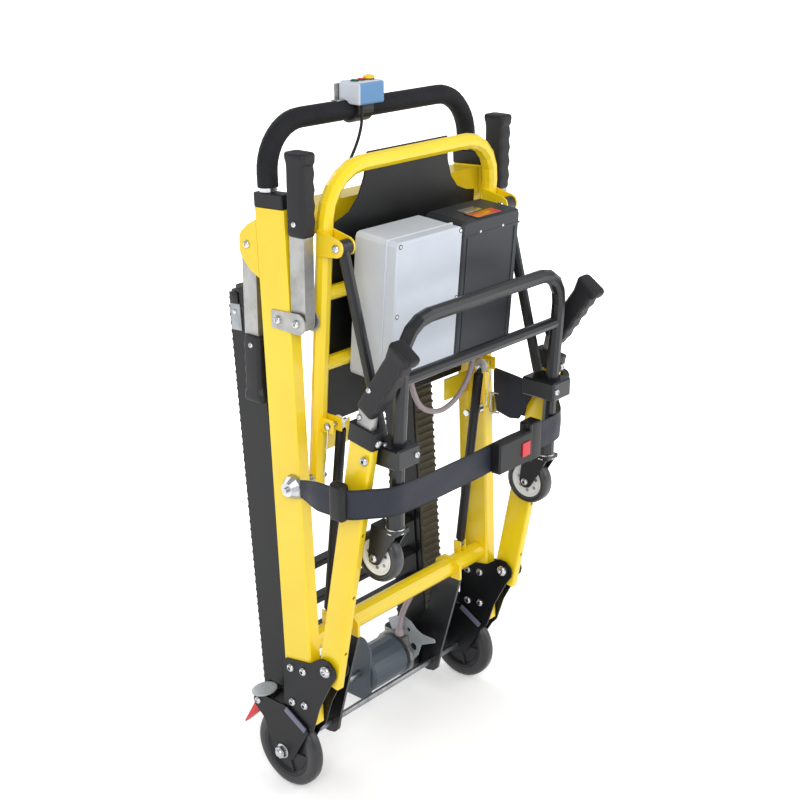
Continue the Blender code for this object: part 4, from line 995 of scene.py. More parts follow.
def make_lap_belt():
    line, length = strap_line()
    nothing_picked()
    bpy.ops.mesh.primitive_grid_add(x_subdivisions=STRAP_COLUMNS, y_subdivisions=STRAP_ROWS,
                                    size=1.0)
    strap = bpy.context.object
    strap.name = strap.data.name = "woven_lap_belt"
    strap.data.uv_layers[0].name = "strap"
    flat = {}
    for vertex in strap.data.vertices:
        column, share = round((vertex.co.x + 0.5) * STRAP_COLUMNS), vertex.co.y
        run = column / STRAP_COLUMNS * length
        flat[vertex.index] = (run, share * STRAP_WIDE)
        before, after = line[max(column - 1, 0)], line[min(column + 1, STRAP_COLUMNS)]
        outward = (after - before).normalized().cross(Vector(UP))
        cup = CUP * math.cos(share * math.pi * 2.0) * math.sin(run * CUP_TURNS)
        vertex.co = line[column] + outward * cup
        vertex.co.z = strap_height(run, length, share)
    for corner, loop in zip(strap.data.uv_layers["strap"].data, strap.data.loops):
        corner.uv = flat[loop.vertex_index]
    thickened(strap, STRAP_THICK, 0.0)
    close(strap, WEBBING, 60.0)
    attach(strap, "castor_frame")
    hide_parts("lap_belt")
    return strap, length


def make_keepers():
    """Sliding keepers: a sleeve with rounded sides that the strap runs through."""
    left = slab("left_belt_keeper", HARD_BLACK, (-0.3005, -0.1180, 0.5985),
                (-0.2790, -0.0860, 0.6660), 0.0085, 5)
    sleeve = slab("right_belt_keeper", HARD_BLACK, (0.112, -0.1905, 0.5985),
                  (0.146, -0.1640, 0.6705), 0.004, 3)
    bar = turned("right_keeper_roll", HARD_BLACK, (0.1145, -0.1860, 0.5975), UP,
                 [(0.0, 0.0035), (0.0008, 0.0052), (0.0722, 0.0052), (0.0730, 0.0035)], 16)
    keepers = [left, joined("right_belt_keeper", sleeve, bar)]
    ride_all("castor_frame", "black_plastic", *keepers)
    return keepers


strap, strap_length = make_lap_belt()
make_keepers()


# Rear wheels

REAR_CENTRE = (RAIL_X, AXLE_Y, 0.075)
REAR_TYRE = [(-0.0120, 0.0560), (-0.0128, 0.0600), (-0.0128, 0.0672), (-0.0112, 0.0715),
             (-0.0078, 0.0742), (-0.0040, 0.0750), (0.0040, 0.0750), (0.0078, 0.0742),
             (0.0112, 0.0715), (0.0128, 0.0672), (0.0128, 0.0600), (0.0120, 0.0560)]
REAR_HUB = [(-0.0132, 0.0066), (-0.0132, 0.0180), (-0.0118, 0.0196), (-0.0072, 0.0212),
            (-0.0064, 0.0440), (-0.0102, 0.0482), (-0.0116, 0.0500), (-0.0116, 0.0562),
            (0.0116, 0.0562), (0.0116, 0.0500), (0.0102, 0.0482), (0.0064, 0.0440),
            (0.0072, 0.0212), (0.0118, 0.0196), (0.0132, 0.0180), (0.0132, 0.0066)]
HUB_RIBS = 5
HUB_RIB_TURN = 0.35


def make_rear_wheels():
    tyre = ring_form("right_rear_tyre", TYRE, REAR_CENTRE, REAR_TYRE, 72, 50.0)
    hub = ring_form("right_rear_hub", REAR_HUB_SKIN, REAR_CENTRE, REAR_HUB, 56, 35.0)
    ribs = []
    for i in range(HUB_RIBS):
        turn = Matrix.Rotation(2 * math.pi * i / HUB_RIBS + HUB_RIB_TURN, 4, "X")
        ribs.append(slab("hub_rib", REAR_HUB_SKIN, (-0.0098, -0.0026, 0.0195),
                         (0.0098, 0.0026, 0.0465), 0.0009, 2,
                         Matrix.Translation(REAR_CENTRE) @ turn))
    hub = joined("right_rear_hub", hub, *ribs)
    ride_pair("SIDE_rear_wheel", "tyre_rubber", tyre, replaces="SIDE_rear_wheel")
    ride_pair("SIDE_rear_wheel", "tyre_rubber", hub)


make_rear_wheels()


# Castor wheels

CASTOR_X = 0.212
CASTOR_CENTRE = (CASTOR_X, -0.121, 0.513)
CASTOR_TYRE = [(-0.0094, 0.0315), (-0.0112, 0.0330), (-0.0114, 0.0360), (-0.0108, 0.0390),
               (-0.0125, 0.0402), (-0.0118, 0.0425), (-0.0080, 0.0446), (-0.0030, 0.0450),
               (0.0030, 0.0450), (0.0080, 0.0446), (0.0118, 0.0425), (0.0125, 0.0402),
               (0.0108, 0.0390), (0.0114, 0.0360), (0.0112, 0.0330), (0.0094, 0.0315)]
CASTOR_HUB = [(-0.0122, 0.0046), (-0.0122, 0.0098), (-0.0094, 0.0108), (-0.0074, 0.0130),
              (-0.0074, 0.0262), (-0.0096, 0.0288), (-0.0106, 0.0300), (-0.0106, 0.0322),
              (0.0106, 0.0322), (0.0106, 0.0300), (0.0096, 0.0288), (0.0074, 0.0262),
              (0.0074, 0.0130), (0.0094, 0.0108), (0.0122, 0.0098), (0.0122, 0.0046)]
POCKETS = 7
POCKET_MIDDLE = (0.0165 + 0.0232) / 2
POCKET_R = (0.0232 - 0.0165) / 2
POCKET_DEEP = 0.0006
HUB_FACE = 0.00742


def hub_pocket_shades(across):
    """Thin darker discs round a castor hub's face: painted shade standing in for shallow pockets.
    """
    parts = []
    for i in range(POCKETS):
        turn = 2 * math.pi * i / POCKETS + 0.2
        spot = Vector(CASTOR_CENTRE) + Vector((across, POCKET_MIDDLE * math.cos(turn),
                                               POCKET_MIDDLE * math.sin(turn)))
        parts.append(turned("pocket", POCKET, spot, OUT,
                            [(0.0, 0.0012), (0.0, POCKET_R), (POCKET_DEEP, POCKET_R)], 14))
    return joined("pocket", *parts)


def make_castor_wheels():
    tyre = ring_form("right_castor_tyre", TYRE, CASTOR_CENTRE, CASTOR_TYRE, 56, 50.0)
    hub = ring_form("right_castor_hub", PALE_HUB, CASTOR_CENTRE, CASTOR_HUB, 48, 35.0)
    pockets = joined("right_castor_hub_pockets", hub_pocket_shades(-HUB_FACE - POCKET_DEEP),
                     hub_pocket_shades(HUB_FACE))
    ride_pair("SIDE_castor_wheel", "tyre_rubber", tyre, replaces="SIDE_castor_wheel")
    ride_pair("SIDE_castor_wheel", "white_plastic", hub, pockets)


make_castor_wheels()


# Fasteners

HEAD_RINGS = ((0.0, 1.0), (0.15, 1.0), (0.42, 0.90), (0.60, 0.66), (0.66, 0.44), (0.66, 0.40),
              (0.36, 0.38))
PLATE_SPOTS = ((-0.024, 0.258), (-0.055, 0.262), (-0.026, 0.188), (-0.057, 0.193))
LEG_SPOT = (-0.111, 0.284)
FORK_SPOT = (0.062, 0.157)
BRACKET_SPOTS = ((-0.018, 0.904), (-0.060, 0.905))
COLLAR_SPOT = Vector(place(LEG, RAIL_X, -0.0281, 0.4635)) - Vector((0.0, AXLE_Y, 0.0))


def at(x, *spots):
    return [(x, *spot) for spot in spots]


# Each row: name, body, and sets of a head's radius, its direction and its places from the axle

BOLTS = (
    ("plate_bolts", "back_frame",
     (0.0078, OUT, *at(0.2702, *PLATE_SPOTS)), (0.0112, OUT, *at(0.2702, LEG_SPOT)),
     (0.0078, IN, *at(0.2358, *PLATE_SPOTS)), (0.0112, IN, *at(0.2358, LEG_SPOT))),
    ("fork_bolts", "back_frame",
     (0.0070, OUT, *at(0.2735, FORK_SPOT)), (0.0070, IN, *at(0.2325, FORK_SPOT))),
    ("bracket_bolts", "back_frame",
     (0.0074, OUT, *at(0.2697, *BRACKET_SPOTS)), (0.0074, IN, *at(0.2363, *BRACKET_SPOTS))),
    ("rear_grip_bolts", "back_frame",
     (0.0073, OUT, (0.2659, 0.053, 1.018)), (0.0073, IN, (0.2401, 0.053, 1.018))),
    ("ear_bolts", "seat",
     (0.0073, OUT, (0.2294, -0.113, 1.030)), (0.0073, IN, (0.1986, -0.113, 1.030))),
    ("fold_bolts", "castor_frame", (0.0079, OUT, (0.2657, -0.2024, 0.7045))),
    ("collar_bolts", "front_legs", (0.0068, way(LEG, *FRONT), COLLAR_SPOT)),
    ("upper_grip_rivets", "SIDE_upper_grip", (0.0050, OUT, (0.2684, -0.0597, 1.068))),
    ("rear_grip_rivets", "SIDE_rear_grip", (0.0050, OUT, (0.2684, 0.0500, 0.8460))),
    ("lower_grip_rivets", "SIDE_lower_grip", (0.0050, OUT, (0.2684, -0.2161, 0.8288))),
    ("lower_grip_stops", "SIDE_lower_grip", (0.0055, OUT, (0.2597, -0.1870, 0.7745))),
    ("castor_bolts", "SIDE_castor_fork",
     (0.0074, OUT, (0.2279, -0.187, 0.513)), (0.0074, IN, (0.1961, -0.187, 0.513))),
    ("clamp_bolts", "castor_frame",
     (0.0060, FRONT, (0.1945, -0.2519, 0.7075)), (0.0055, UP, (0.2300, -0.2140, 0.7249))),
)


def bolt_heads(name, *sets):
    """Round socket heads, made one piece."""
    heads = []
    for radius, direction, *spots in sets:
        rings = [(up * radius, wide * radius) for up, wide in HEAD_RINGS]
        head = turned("bolt_head", STEEL, CENTRE, UP, rings, 18, 40.0)
        turn = Vector(direction).to_track_quat("Z", "Y").to_matrix().to_4x4()
        for spot in spots:
            stand = Matrix.Translation(Vector(spot) + Vector((0.0, AXLE_Y, 0.0)))
            heads.append(copied(head, "bolt_head_copy", stand @ turn))
        bpy.data.objects.remove(head)
    return joined(name, *heads)


for bolt_name, bolt_body, *bolt_sets in BOLTS:
    ride_pair(bolt_body, "steel", bolt_heads("right_" + bolt_name, *bolt_sets))


def make_axle_nuts():
    """A washer, a six-sided nut and a domed end on each end of the wheel axle."""
    spot = (0.2737, AXLE_Y, 0.075)
    washer = turned("axle_washer", STEEL, spot, OUT,
                    [(0.0, 0.0140), (0.0014, 0.0140), (0.0018, 0.0134)], 28)
    nut = turned("axle_nut", STEEL, spot, OUT,
                 [(0.0017, 0.0122), (0.0092, 0.0122), (0.0100, 0.0112)], 6, 20.0)
    dome = turned("axle_dome", STEEL, spot, OUT,
                  [(0.0090, 0.0088), (0.0120, 0.0080), (0.0142, 0.0056), (0.0150, 0.0022)],
                  20, 50.0)
    ride_pair("back_frame", "steel", joined("right_axle_nut", washer, nut, dome))


make_axle_nuts()


# Control box, its buttons and its clamp

BAR = RAIL @ Vector((0.0, HANDLE_OFF, HANDLE_TOP))
BOX_LOW = BAR.z + 0.010
BOX_TOP = BOX_LOW + 0.036
BOX_WHITE_END = -0.0686
BUTTON_Y = AXLE_Y + 0.004
BUTTON_LOW = BOX_TOP - 0.0039
BRACKET_BACK = AXLE_Y + 0.0310
BRACKET_LOW, BRACKET_TOP = BAR.z + 0.0165, BAR.z + 0.0182

paint(material("control_box_shells", "blue",
               ("white", "along", CENTRE, OUT, -1.0, BOX_WHITE_END),
               ("hard_black", "along", CENTRE, UP, 0.0, BOX_LOW + 0.0004)), "control_box")


def make_control_trim():
    """Top plate with its screws, its white a painted highlight on the box's top, and the sheet
    bracket that holds the box on the bar.
    """
    # The top plate's white stands in for the highlight on the box's top: painted highlight
    top = slab("control_top_highlight_plate", WHITE, (-0.0680, AXLE_Y - 0.0172, BOX_TOP - 0.0006),
               (-0.0120, AXLE_Y + 0.0252, BOX_TOP + 0.0010), 0.0005, 1)
    screws = [turned("top_screw", STEEL, (x, AXLE_Y + y, BOX_TOP + 0.0008), UP,
                     [(0.0, 0.0018), (0.0005, 0.0017), (0.0008, 0.0011)], 12)
              for x in (-0.0650, -0.0150) for y in (-0.0142, 0.0222)]
    upright = slab("bracket_upright", GREY, (-0.0790, AXLE_Y + 0.0285, BOX_LOW + 0.002),
                   (-0.0560, BRACKET_BACK, BOX_TOP - 0.003), 0.0006)
    foot = slab("bracket_foot", GREY, (-0.0930, BAR.y - 0.0065, BRACKET_LOW),
                (-0.0735, BAR.y + 0.0085, BRACKET_TOP), 0.0006)
    web = slab("bracket_web", GREY, (-0.0790, BAR.y + 0.0065, BRACKET_LOW),
               (-0.0735, BRACKET_BACK, BRACKET_TOP), 0.0006)
    ride_all("push_handle", "white_plastic", top)
    ride_all("push_handle", "steel", joined("control_top_screws", *screws))
    ride_all("push_handle", "grey_metal", joined("control_box_bracket", upright, foot, web))


def push_button(name, made, x, rings, collar):
    """A button cap on its own body, with a dark collar left on the box."""
    radius = rings[0][1]
    cap = turned(name + "_cap", made, (x, BUTTON_Y, BUTTON_LOW), UP, rings, 28, 40.0)
    ring = turned(name + "_collar", HARD_BLACK, (x, BUTTON_Y, BOX_TOP + 0.0009), UP,
                  [(0.0, collar), (0.0014, collar), (0.0020, collar - 0.0007),
                   (0.0020, radius + 0.0004), (0.0004, radius + 0.0004)], 28)
    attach(cap, name)
    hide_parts(name)
    ride_all("push_handle", "black_plastic", ring)


FLAT_CAP = [(0.0, 0.0055), (0.0074, 0.0055), (0.0084, 0.0048), (0.0084, 0.0040), (0.0079, 0.0034)]
MUSHROOM_CAP = [(0.0, 0.0080), (0.0062, 0.0080), (0.0068, 0.0098), (0.0082, 0.0105),
                (0.0100, 0.0100), (0.0116, 0.0080), (0.0124, 0.0050), (0.0126, 0.0016)]

make_control_trim()
push_button("green_button", GREEN, -0.0570, FLAT_CAP, 0.0072)
push_button("red_button", RED, -0.0410, FLAT_CAP, 0.0072)
push_button("stop_button", AMBER, -0.0225, MUSHROOM_CAP, 0.0100)


# Enclosure, battery and what is fixed on them, in the seat's frame

LID_FACE = -0.1052
BATTERY_TOP = 0.4312
DISPLAY_FRONT, DISPLAY_BACK = -0.0955, -0.0710


def seat_piece(made, slot_name):
    made.data.transform(SEAT)
    ride_all("seat", slot_name, made)


def make_case_details():
    screws, well_shades = [], []
    for x in (-0.1485, 0.0035):
        for s in (0.4215, 0.3040, 0.1865):
            # Dark discs round the lid screws: painted shade standing in for the screws' recesses
            well_shades.append(turned("lid_well_shade", HARD_BLACK, (x, LID_FACE + 0.00015, s), FRONT,
                                [(0.0, 0.0042), (0.0004, 0.0042), (0.0004, 0.0031)], 18))
            screws.append(turned("lid_screw", STEEL, (x, LID_FACE, s), FRONT,
                                 [(0.0, 0.0030), (0.0005, 0.0028), (0.0007, 0.0018)], 14))
    seat_piece(joined("enclosure_screw_wells", *well_shades), "black_plastic")
    seat_piece(joined("enclosure_screws", *screws), "steel")
    seat_piece(slab("enclosure_seal_lip", WHITE, (-0.1562, -0.0824, 0.1788),
                    (0.0112, -0.0776, 0.4292), 0.0022), "white_plastic")


def battery_plate(name, made, slot_name, low, high, sunk, proud, round_by=0.0005):
    """A thin plate let into the battery's top, between two corners in plan."""
    seat_piece(slab(name, made, (*low, BATTERY_TOP - sunk), (*high, BATTERY_TOP + proud),
                    round_by), slot_name)


def make_battery_details():
    """Display window, bare socket plate, ribs along the case and its end screws."""
    battery_plate("battery_display_bezel", HARD_BLACK, "black_plastic",
                  (0.0560, -0.0985), (0.1300, -0.0680), 0.0006, 0.0008, 0.0006)
    battery_plate("battery_display_window", ORANGE, "amber_plastic",
                  (0.0600, DISPLAY_FRONT), (0.1130, DISPLAY_BACK), 0.0, 0.0013)
    battery_plate("battery_display_red_end", RED, "red_plastic",
                  (0.1132, DISPLAY_FRONT), (0.1265, DISPLAY_BACK), 0.0, 0.0013)
    battery_plate("battery_socket_plate", STEEL, "steel",
                  (0.0655, -0.0655), (0.1110, -0.0440), 0.0005, 0.0009)
    screws = [turned("battery_screw", STEEL, (x, -0.0999, 0.4075), FRONT,
                     [(0.0, 0.0026), (0.0007, 0.0024), (0.0010, 0.0014)], 14)
              for x in (0.0650, 0.1275)]
    seat_piece(joined("battery_screws", *screws), "steel")
    ribs = [slab("battery_rib", BATTERY, (x - 0.0016, -0.1014, 0.1850),
                 (x + 0.0016, -0.0990, 0.4010), 0.0008) for x in (0.0310, 0.1620)]
    cap = slab("battery_cap", BATTERY, (0.0163, -0.1007, 0.4035), (0.1767, -0.0128, 0.4062),
               0.0008)
    seat_piece(joined("battery_case_ribs", cap, *ribs), "slate_motor")


make_case_details()
make_battery_details()


# Gas springs behind the legs

SPRING_X = 0.1880
SPRING_TOP = Vector((SPRING_X, -0.0800 + AXLE_Y, 0.7200))
SPRING_LOW = Vector((SPRING_X, -0.0400 + AXLE_Y, 0.3400))
WIRE_X = 0.2235


def make_gas_springs():
    """Each spring's body and rod, its eye and the stand that carries it."""
    run = (SPRING_TOP - SPRING_LOW).normalized()
    far = (SPRING_TOP - SPRING_LOW).length
    spring = turned("right_gas_spring", HARD_BLACK, SPRING_LOW, run,
                    [(0.0, 0.0060), (0.0100, 0.0060), (0.0105, 0.0083), (0.0120, 0.0090),
                     (far - 0.016, 0.0090), (far - 0.0145, 0.0083), (far - 0.0140, 0.0050),
                     (far - 0.004, 0.0045)], 20)
    eye = turned("right_gas_spring_eye", ZINC, SPRING_LOW - Vector((0.006, 0, 0)), OUT,
                 [(0.0, 0.0070), (0.001, 0.0078), (0.011, 0.0078), (0.012, 0.0070)], 18)
    stands = [slab("spring_stand", YELLOW, (x, SPRING_LOW.y - 0.0085, 0.3215),
                   (x + 0.0025, SPRING_LOW.y + 0.0085, 0.3480), 0.0008)
              for x in (0.1790, 0.1945)]
    ride_pair("back_frame", "black_plastic", spring)
    ride_pair("back_frame", "steel", eye)
    ride_pair("back_frame", "yellow_paint", joined("right_gas_spring_foot", *stands))


def make_clevises():
    """On the seat, at each spring's top: roller, pin, ears and lock wire."""
    deep, high = SPRING_TOP.y, SPRING_TOP.z
    roller = turned("right_clevis_roller", PALE_HUB, (0.1925, deep, high), OUT,
                    [(0.0, 0.0050), (0.0, 0.0120), (0.001, 0.0128), (0.0050, 0.0128),
                     (0.0060, 0.0120), (0.0060, 0.0050)], 28)
    pin = turned("right_clevis_pin", STEEL, (0.1780, deep, high), OUT,
                 [(0.0, 0.0036), (0.0005, 0.0042), (0.0445, 0.0042), (0.0447, 0.0072),
                  (0.0478, 0.0062), (0.0490, 0.0036)], 18)
    ears = [slab("clevis_ear", YELLOW, (x, deep - 0.0120, high - 0.0125),
                 (x + 0.0030, -0.0480 + AXLE_Y, high + 0.0125), 0.0012)
            for x in (0.1990, 0.2190)]
    wire = tube("right_lock_wire", STEEL,
                [Vector((WIRE_X, deep - 0.002, high)), Vector((WIRE_X, deep + 0.001, 0.690)),
                 Vector((WIRE_X - 0.0005, deep + 0.010, 0.630))], 0.0011, 8)
    ride_pair("seat", "white_plastic", roller)
    ride_pair("seat", "steel", pin, wire)
    ride_pair("seat", "yellow_paint", joined("right_clevis_ears", *ears))


make_gas_springs()
make_clevises()


# Castor bearings

def make_castor_bearings():
    """Bright races under the head and on the fork's crown."""
    for name, body, low, wide in (("upper_race", "castor_frame", 0.5740, 0.0166),
                                  ("lower_race", "SIDE_castor_fork", 0.5665, 0.0168)):
        race = turned("right_castor_" + name, STEEL, (CASTOR_X, -0.221 + AXLE_Y, low), UP,
                      [(0.0, wide - 0.0006), (0.0004, wide), (0.0020, wide),
                       (0.0024, wide - 0.0006)], 36)
        ride_pair(body, "steel", race)


make_castor_bearings()


# Moulded hand grips

GRIP_SIDE = 0.0157
GRIP_BACK = 0.0187
GRIP_CORNER = 0.0062
FINGER_WAVES = 9
FINGER_REACH = 0.0184, 0.0213


def grip_rings(long, flare):
    """Stations up a grip: height, front reach, back reach and half width."""
    rings = [(-0.0006, 0.0168, 0.0150, 0.0128), (0.0012, 0.0184, 0.0174, 0.0150),
             (0.0060, 0.0190, 0.0188, GRIP_SIDE)]
    step = (long - 0.030) / (FINGER_WAVES - 1)
    rings += [(0.010 + i * step, FINGER_REACH[i % 2], GRIP_BACK, GRIP_SIDE)
              for i in range(FINGER_WAVES)]
    crown = GRIP_BACK + flare
    rings += [(long - 0.0145, 0.0205 + flare * 0.45, GRIP_BACK + flare * 0.35, 0.0158),
              (long - 0.0090, crown, crown - 0.0004, 0.0160),
              (long - 0.0060, crown + 0.0004, crown, 0.0161),
              (long - 0.0015, crown - 0.0002, crown - 0.0004, 0.0159),
              (long + 0.0006, crown - 0.0018, crown - 0.0020, 0.0145),
              (long + 0.0014, crown - 0.0050, crown - 0.0052, 0.0118)]
    return rings


def moulded_grip(name, long, flare, stand):
    """A grip drawn up ring by ring from a rounded oblong, fingers towards -Y."""
    nothing_picked()
    bpy.ops.mesh.primitive_circle_add(vertices=32, radius=1.0, fill_type="NGON")
    piece = edit(name)
    rings = grip_rings(long, flare)
    up, front, back, wide = rings[0]
    reach = (front + back) / 2
    mesh = bmesh.from_edit_mesh(piece.data)
    for vertex in mesh.verts:
        turn = math.atan2(vertex.co.y, vertex.co.x)
        across, deep = math.cos(turn), math.sin(turn)
        vertex.co.x = math.copysign(wide - GRIP_CORNER, across) + GRIP_CORNER * across
        vertex.co.y = (math.copysign(reach - GRIP_CORNER, deep) + GRIP_CORNER * deep
                       + (back - front) / 2)
        vertex.co.z = up
    bmesh.update_edit_mesh(piece.data)
    last = rings[0]
    for ring in rings[1:]:
        bpy.ops.mesh.extrude_region_move(
            TRANSFORM_OT_translate={"value": (0.0, 0.0, ring[0] - last[0])})
        old, new = (last[1] + last[2]) / 2, (ring[1] + ring[2]) / 2
        middle = (last[2] - last[1]) / 2
        bpy.ops.transform.resize(value=(ring[3] / last[3], new / old, 1.0),
                                 center_override=(0.0, middle, ring[0]))
        bpy.ops.transform.translate(value=(0.0, (ring[2] - ring[1]) / 2 - middle, 0.0))
        last = ring
    close(piece, GRIP, 42.0)
    piece.data.transform(stand)
    return piece


# Each row: the grip's body, its length, the flare of its crown, and where it stands

GRIPS = (
    ("upper_grip", 0.132, 0.004, Matrix.Translation((RAIL_X, -0.060 + AXLE_Y, 1.047))),
    ("rear_grip", 0.116, 0.005, Matrix.Translation((RAIL_X, 0.050 + AXLE_Y, 0.862))
     @ Matrix.Rotation(math.pi, 4, "X")),
    ("lower_grip", 0.138, 0.006, LEG @ Matrix.Translation((RAIL_X, 0.0, 0.512))
     @ Matrix.Rotation(math.radians(23.6), 4, "X")),
)

for grip_name, grip_long, grip_flare, grip_stand in GRIPS:
    ride_pair("SIDE_" + grip_name, "grip_plastic",
              moulded_grip("right_" + grip_name + "_handle", grip_long, grip_flare, grip_stand))


# Front legs, their collars and the bars that slide in them

BAR_HALF = 0.00685
BAR_BACK = 0.0155
BAR_JOIN = 0.440
LEG_HOLES = (0.045, 0.163, 0.288)


def square_tube(name, made, half_x, half_y, low, high, corner, wall, mouth_y, depth):
    """A tube with rounded corners, hollow from its top down."""
    nothing_picked()
    bpy.ops.mesh.primitive_cube_add(size=1.0, location=(RAIL_X, 0.0, (low + high) / 2))
    bpy.context.object.scale = (2 * half_x, 2 * half_y, high - low)
    piece = edit(name)
    bpy.ops.mesh.select_mode(type="EDGE")
    pick(piece, lambda e: abs(e.verts[0].co.z - e.verts[1].co.z) > 0.01, "edges")
    bpy.ops.mesh.bevel(offset=corner, segments=4, affect="EDGES")
    bpy.ops.mesh.select_mode(type="FACE")
    pick(piece, lambda f: f.normal.z > 0.9)
    bpy.ops.mesh.inset(thickness=wall)
    bpy.ops.transform.resize(value=(1.0, mouth_y / (half_y - wall), 1.0),
                             center_override=(RAIL_X, 0.0, high))
    bpy.ops.mesh.extrude_region_move(TRANSFORM_OT_translate={"value": (0.0, 0.0, -depth)})
    return close(piece, made)


def grip_bar():
    """The wide bar of a lower grip, its top leaning with the handle."""
    upper = slab("grip_bar", GREY, (RAIL_X - BAR_HALF, -BAR_BACK, BAR_JOIN),
                 (RAIL_X + BAR_HALF, BAR_BACK, 0.5125), 0.0009)
    for vertex in upper.data.vertices:
        if vertex.co.z > 0.50:
            vertex.co.z += 0.42 * vertex.co.y
    lower = slab("grip_bar", GREY, (RAIL_X - BAR_HALF, -0.0112, 0.250),
                 (RAIL_X + BAR_HALF, BAR_BACK, BAR_JOIN + 0.001), 0.0009)
    return joined("right_lower_grip_bar", upper, lower)


def make_front_legs():
    leg = square_tube("right_leg_tube", YELLOW, 0.009, 0.025, -0.030, 0.4665, 0.004, 0.002,
                      0.023, 0.494)
    holes = [turned("leg_hole", YELLOW, (RAIL_X, -0.030, s), (0, 1, 0),
                    [(0.0, 0.0035), (0.0085, 0.0035)], 16) for s in LEG_HOLES]
    leg = bored(leg, 35.0, *holes)
    collar = square_tube("right_leg_collar", HARD_BLACK, 0.0125, 0.02825, 0.452, 0.483, 0.005,
                         0.0048, 0.0165, 0.0165)
    bar = grip_bar()
    for piece in (leg, collar, bar):
        piece.data.transform(LEG)
    ride_pair("front_legs", "yellow_paint", leg, replaces="SIDE_front_leg")
    ride_pair("front_legs", "black_plastic", collar)
    ride_pair("SIDE_lower_grip", "grey_metal", bar)


make_front_legs()


# Wheel brake pedal

PAD_X = -0.2745
PAD_Y = 0.0425 + AXLE_Y
PAD_RISES = ((0.0008, 1.03), (0.0024, 1.0), (0.0012, 0.94), (0.0006, 0.80), (0.0002, 0.5))
ARM_LINE = ((0.026, 0.1866), (0.062, 0.1866), (0.074, 0.166), (0.080, 0.150), (0.070, 0.142),
            (0.056, 0.146), (0.046, 0.160), (0.034, 0.174))
LEVER_LINE = ((0.0720, 0.1520), (0.0840, 0.1420), (0.0905, 0.1290), (0.1165, 0.0835),
              (0.1140, 0.0815), (0.0800, 0.1165), (0.0700, 0.1300))


def make_brake():
    """A leaf-shaped pad on a dark arm, and the red release lever behind the wheel."""
    nothing_picked()
    bpy.ops.mesh.primitive_circle_add(vertices=36, radius=1.0, fill_type="NGON",
                                      location=(PAD_X, PAD_Y, 0.1868))
    bpy.context.object.scale = (0.0250, 0.0190, 1.0)
    pad = edit("brake_pad")
    for rise, share in PAD_RISES:
        bpy.ops.mesh.extrude_region_move(TRANSFORM_OT_translate={"value": (0.0, 0.0, rise)})
        bpy.ops.transform.resize(value=(share, share, 1.0), center_override=(PAD_X, PAD_Y, 0.19))
    close(pad, PALE_GREY, 40.0)
    arm = plate("brake_arm", BLACK, ARM_LINE, -0.2640, -0.2420, 0.0012)
    pivot = turned("brake_pivot", BLACK, (-0.2705, 0.062 + AXLE_Y, 0.157), OUT,
                   [(0.0, 0.011), (0.0349, 0.011)], 24)
    arm = joined("brake_pedal_arm", arm, pivot)
    lever = plate("brake_release_lever", RED, LEVER_LINE, -0.2610, -0.2450, 0.0012)
    bolt = turned("brake_pad_bolt", STEEL, (-0.2655, 0.0700 + AXLE_Y, 0.1480), IN,
                  [(-0.002, 0.0050), (0.0008, 0.0050), (0.0026, 0.0042), (0.0034, 0.0026)], 18)
    ride_all("brake_pedal", "grey_metal", pad)
    ride_all("brake_pedal", "black_paint", arm)
    ride_all("brake_pedal", "red_plastic", lever)
    ride_all("brake_pedal", "steel", bolt)
    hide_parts("brake_pedal")


make_brake()


# Stiffening bars on the wheel forks; their light grey-blue is painted highlight along the black
# fork's folded edge

FORK_BAR_HALF = 0.028
FORK_BAR_RISE = 0.0057
FORK_BAR_THICK = 0.0031
FORK_BARS = (Matrix.Translation((0.0, -0.0363 + AXLE_Y, 0.1568))
             @ Matrix.Rotation(math.radians(27.95), 4, "X"))

fork_bars = [slab("right_fork_" + bar_name + "_bar", FORK_LIP_HIGHLIGHT,
                  (bar_x, -FORK_BAR_HALF, -FORK_BAR_RISE),
                  (bar_x + FORK_BAR_THICK, FORK_BAR_HALF, FORK_BAR_RISE), 0.0009, 2, FORK_BARS)
             for bar_name, bar_x in (("outer", 0.2737), ("inner", 0.2292))]
ride_pair("back_frame", "black_paint", *fork_bars)


# Bracket on the motor's end, and the gland under the conduit

BRACKET_LINE = ((0.0842, 0.1573), (0.0651, 0.1701), (0.0381, 0.1765), (0.0221, 0.1710),
                (0.0087, 0.1599), (-0.0072, 0.1533), (-0.0386, 0.1538), (-0.0413, 0.1469),
                (-0.0047, 0.1283), (0.0031, 0.1022), (0.0190, 0.0819), (0.0379, 0.0722))
BRACKET_HOLES = ((0.0287, 0.1513, 0.0050), (0.0152, 0.1172, 0.0085))


def make_motor_bracket():
    bracket = plate("motor_ring_bracket", PALE_GREY, BRACKET_LINE, 0.1115, 0.1145, 0.0009)
    holes = [turned("bracket_hole", PALE_GREY, (0.105, deep + AXLE_Y, up), OUT,
                    [(0.0, wide), (0.02, wide)], 24) for deep, up, wide in BRACKET_HOLES]
    bored(bracket, 35.0, *holes)
    ride_all("back_frame", "grey_metal", bracket)
    gland = turned("conduit_gland", CONDUIT, (0.1040, 0.0450 + AXLE_Y, 0.1380), UP,
                   [(0.0, 0.0095), (0.0060, 0.0095), (0.0070, 0.0085), (0.0130, 0.0078),
                    (0.0140, 0.0064)], 24)
    ride_all("back_frame", "conduit_plastic", gland)


make_motor_bracket()


# Folded strap tab with its ring, and the knob of the fold lock

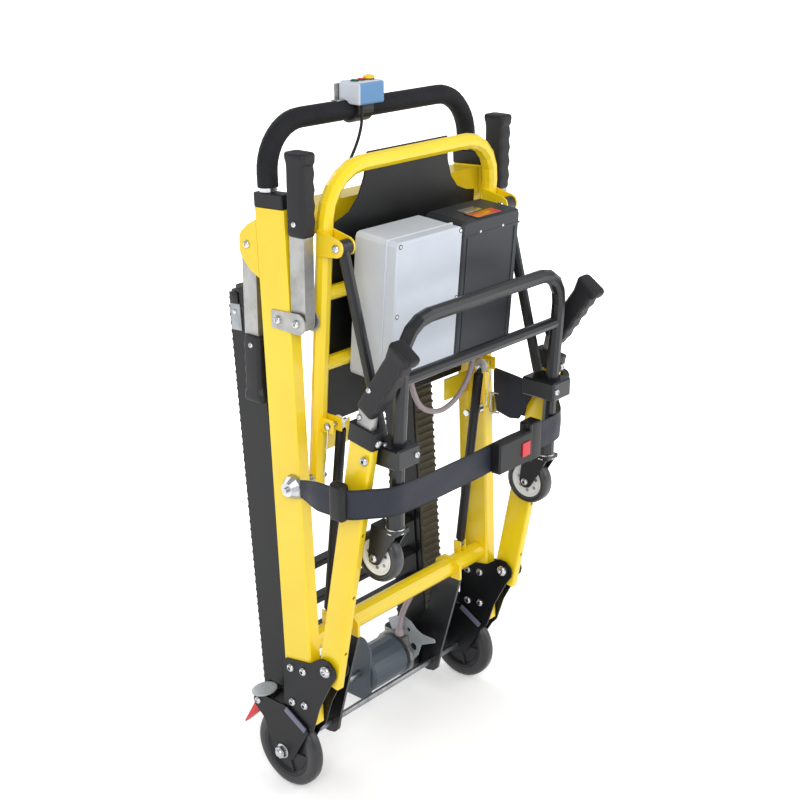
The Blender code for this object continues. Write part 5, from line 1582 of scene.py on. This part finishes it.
TAB_LINE = ((-0.0790, 0.7070), (-0.1300, 0.7020), (-0.1800, 0.6950), (-0.1790, 0.6850),
            (-0.1420, 0.6170), (-0.1200, 0.6130), (-0.0890, 0.6200), (-0.0800, 0.6600))
RING_LINE = ((-0.0930, 0.6560), (-0.0760, 0.6545), (-0.0722, 0.6515), (-0.0718, 0.6200),
             (-0.0735, 0.6150), (-0.0780, 0.6138), (-0.0930, 0.6165))
TAB_X = 0.2340
TAB_HALF = 0.0012


def make_folded_tab():
    tab = plate("right_folded_tab", WEBBING, TAB_LINE, TAB_X - TAB_HALF, TAB_X + TAB_HALF, 0.0009)
    ring = tube("right_tab_ring", STEEL, [Vector((TAB_X, y + AXLE_Y, z)) for y, z in RING_LINE],
                0.0019, 12)
    knob = turned("right_fold_knob", HARD_BLACK, (0.2668, -0.2024 + AXLE_Y, 0.7045), OUT,
                  [(0.0, 0.0085), (0.0030, 0.0085), (0.0040, 0.0125), (0.0060, 0.0145),
                   (0.0180, 0.0150), (0.0215, 0.0140), (0.0232, 0.0110), (0.0236, 0.0060)],
                  10, 30.0)
    ride_all("castor_frame", "webbing", tab)
    ride_all("castor_frame", "steel", ring)
    ride_all("castor_frame", "black_plastic", knob)


make_folded_tab()


# Tab plates on the seat tube, and the idler sliders at the top of the tracks

SEAT_TAB_LINE = ((-0.0452, 0.6585), (-0.0452, 0.7010), (-0.0410, 0.7010), (-0.0410, 0.6585))
SLIDER_X = 0.2189


def make_side_plates():
    ride_pair("seat", "yellow_paint", plate("right_seat_tab_plate", YELLOW, SEAT_TAB_LINE,
                                            0.1300, 0.2100, 0.0012))
    slider = slab("right_idler_slider", PALE_GREY, (SLIDER_X, 0.0090, 0.757),
                  (0.2206, 0.0340, 0.8040), 0.0005, 2, TRACK)
    stop = slab("right_idler_stop", HARD_BLACK, (SLIDER_X, 0.0120, 0.8050),
                (0.2212, 0.0325, 0.8250), 0.0007, 2, TRACK)
    bolt = turned("right_idler_bolt", STEEL, place(TRACK, 0.2205, 0.0225, 0.7900), OUT,
                  [(0.0, 0.0048), (0.0014, 0.0046), (0.0022, 0.0030)], 16)
    ride_pair("track_unit", "grey_metal", slider)
    ride_pair("track_unit", "black_plastic", stop)
    ride_pair("track_unit", "steel", bolt)


make_side_plates()

bpy.context.view_layer.update()
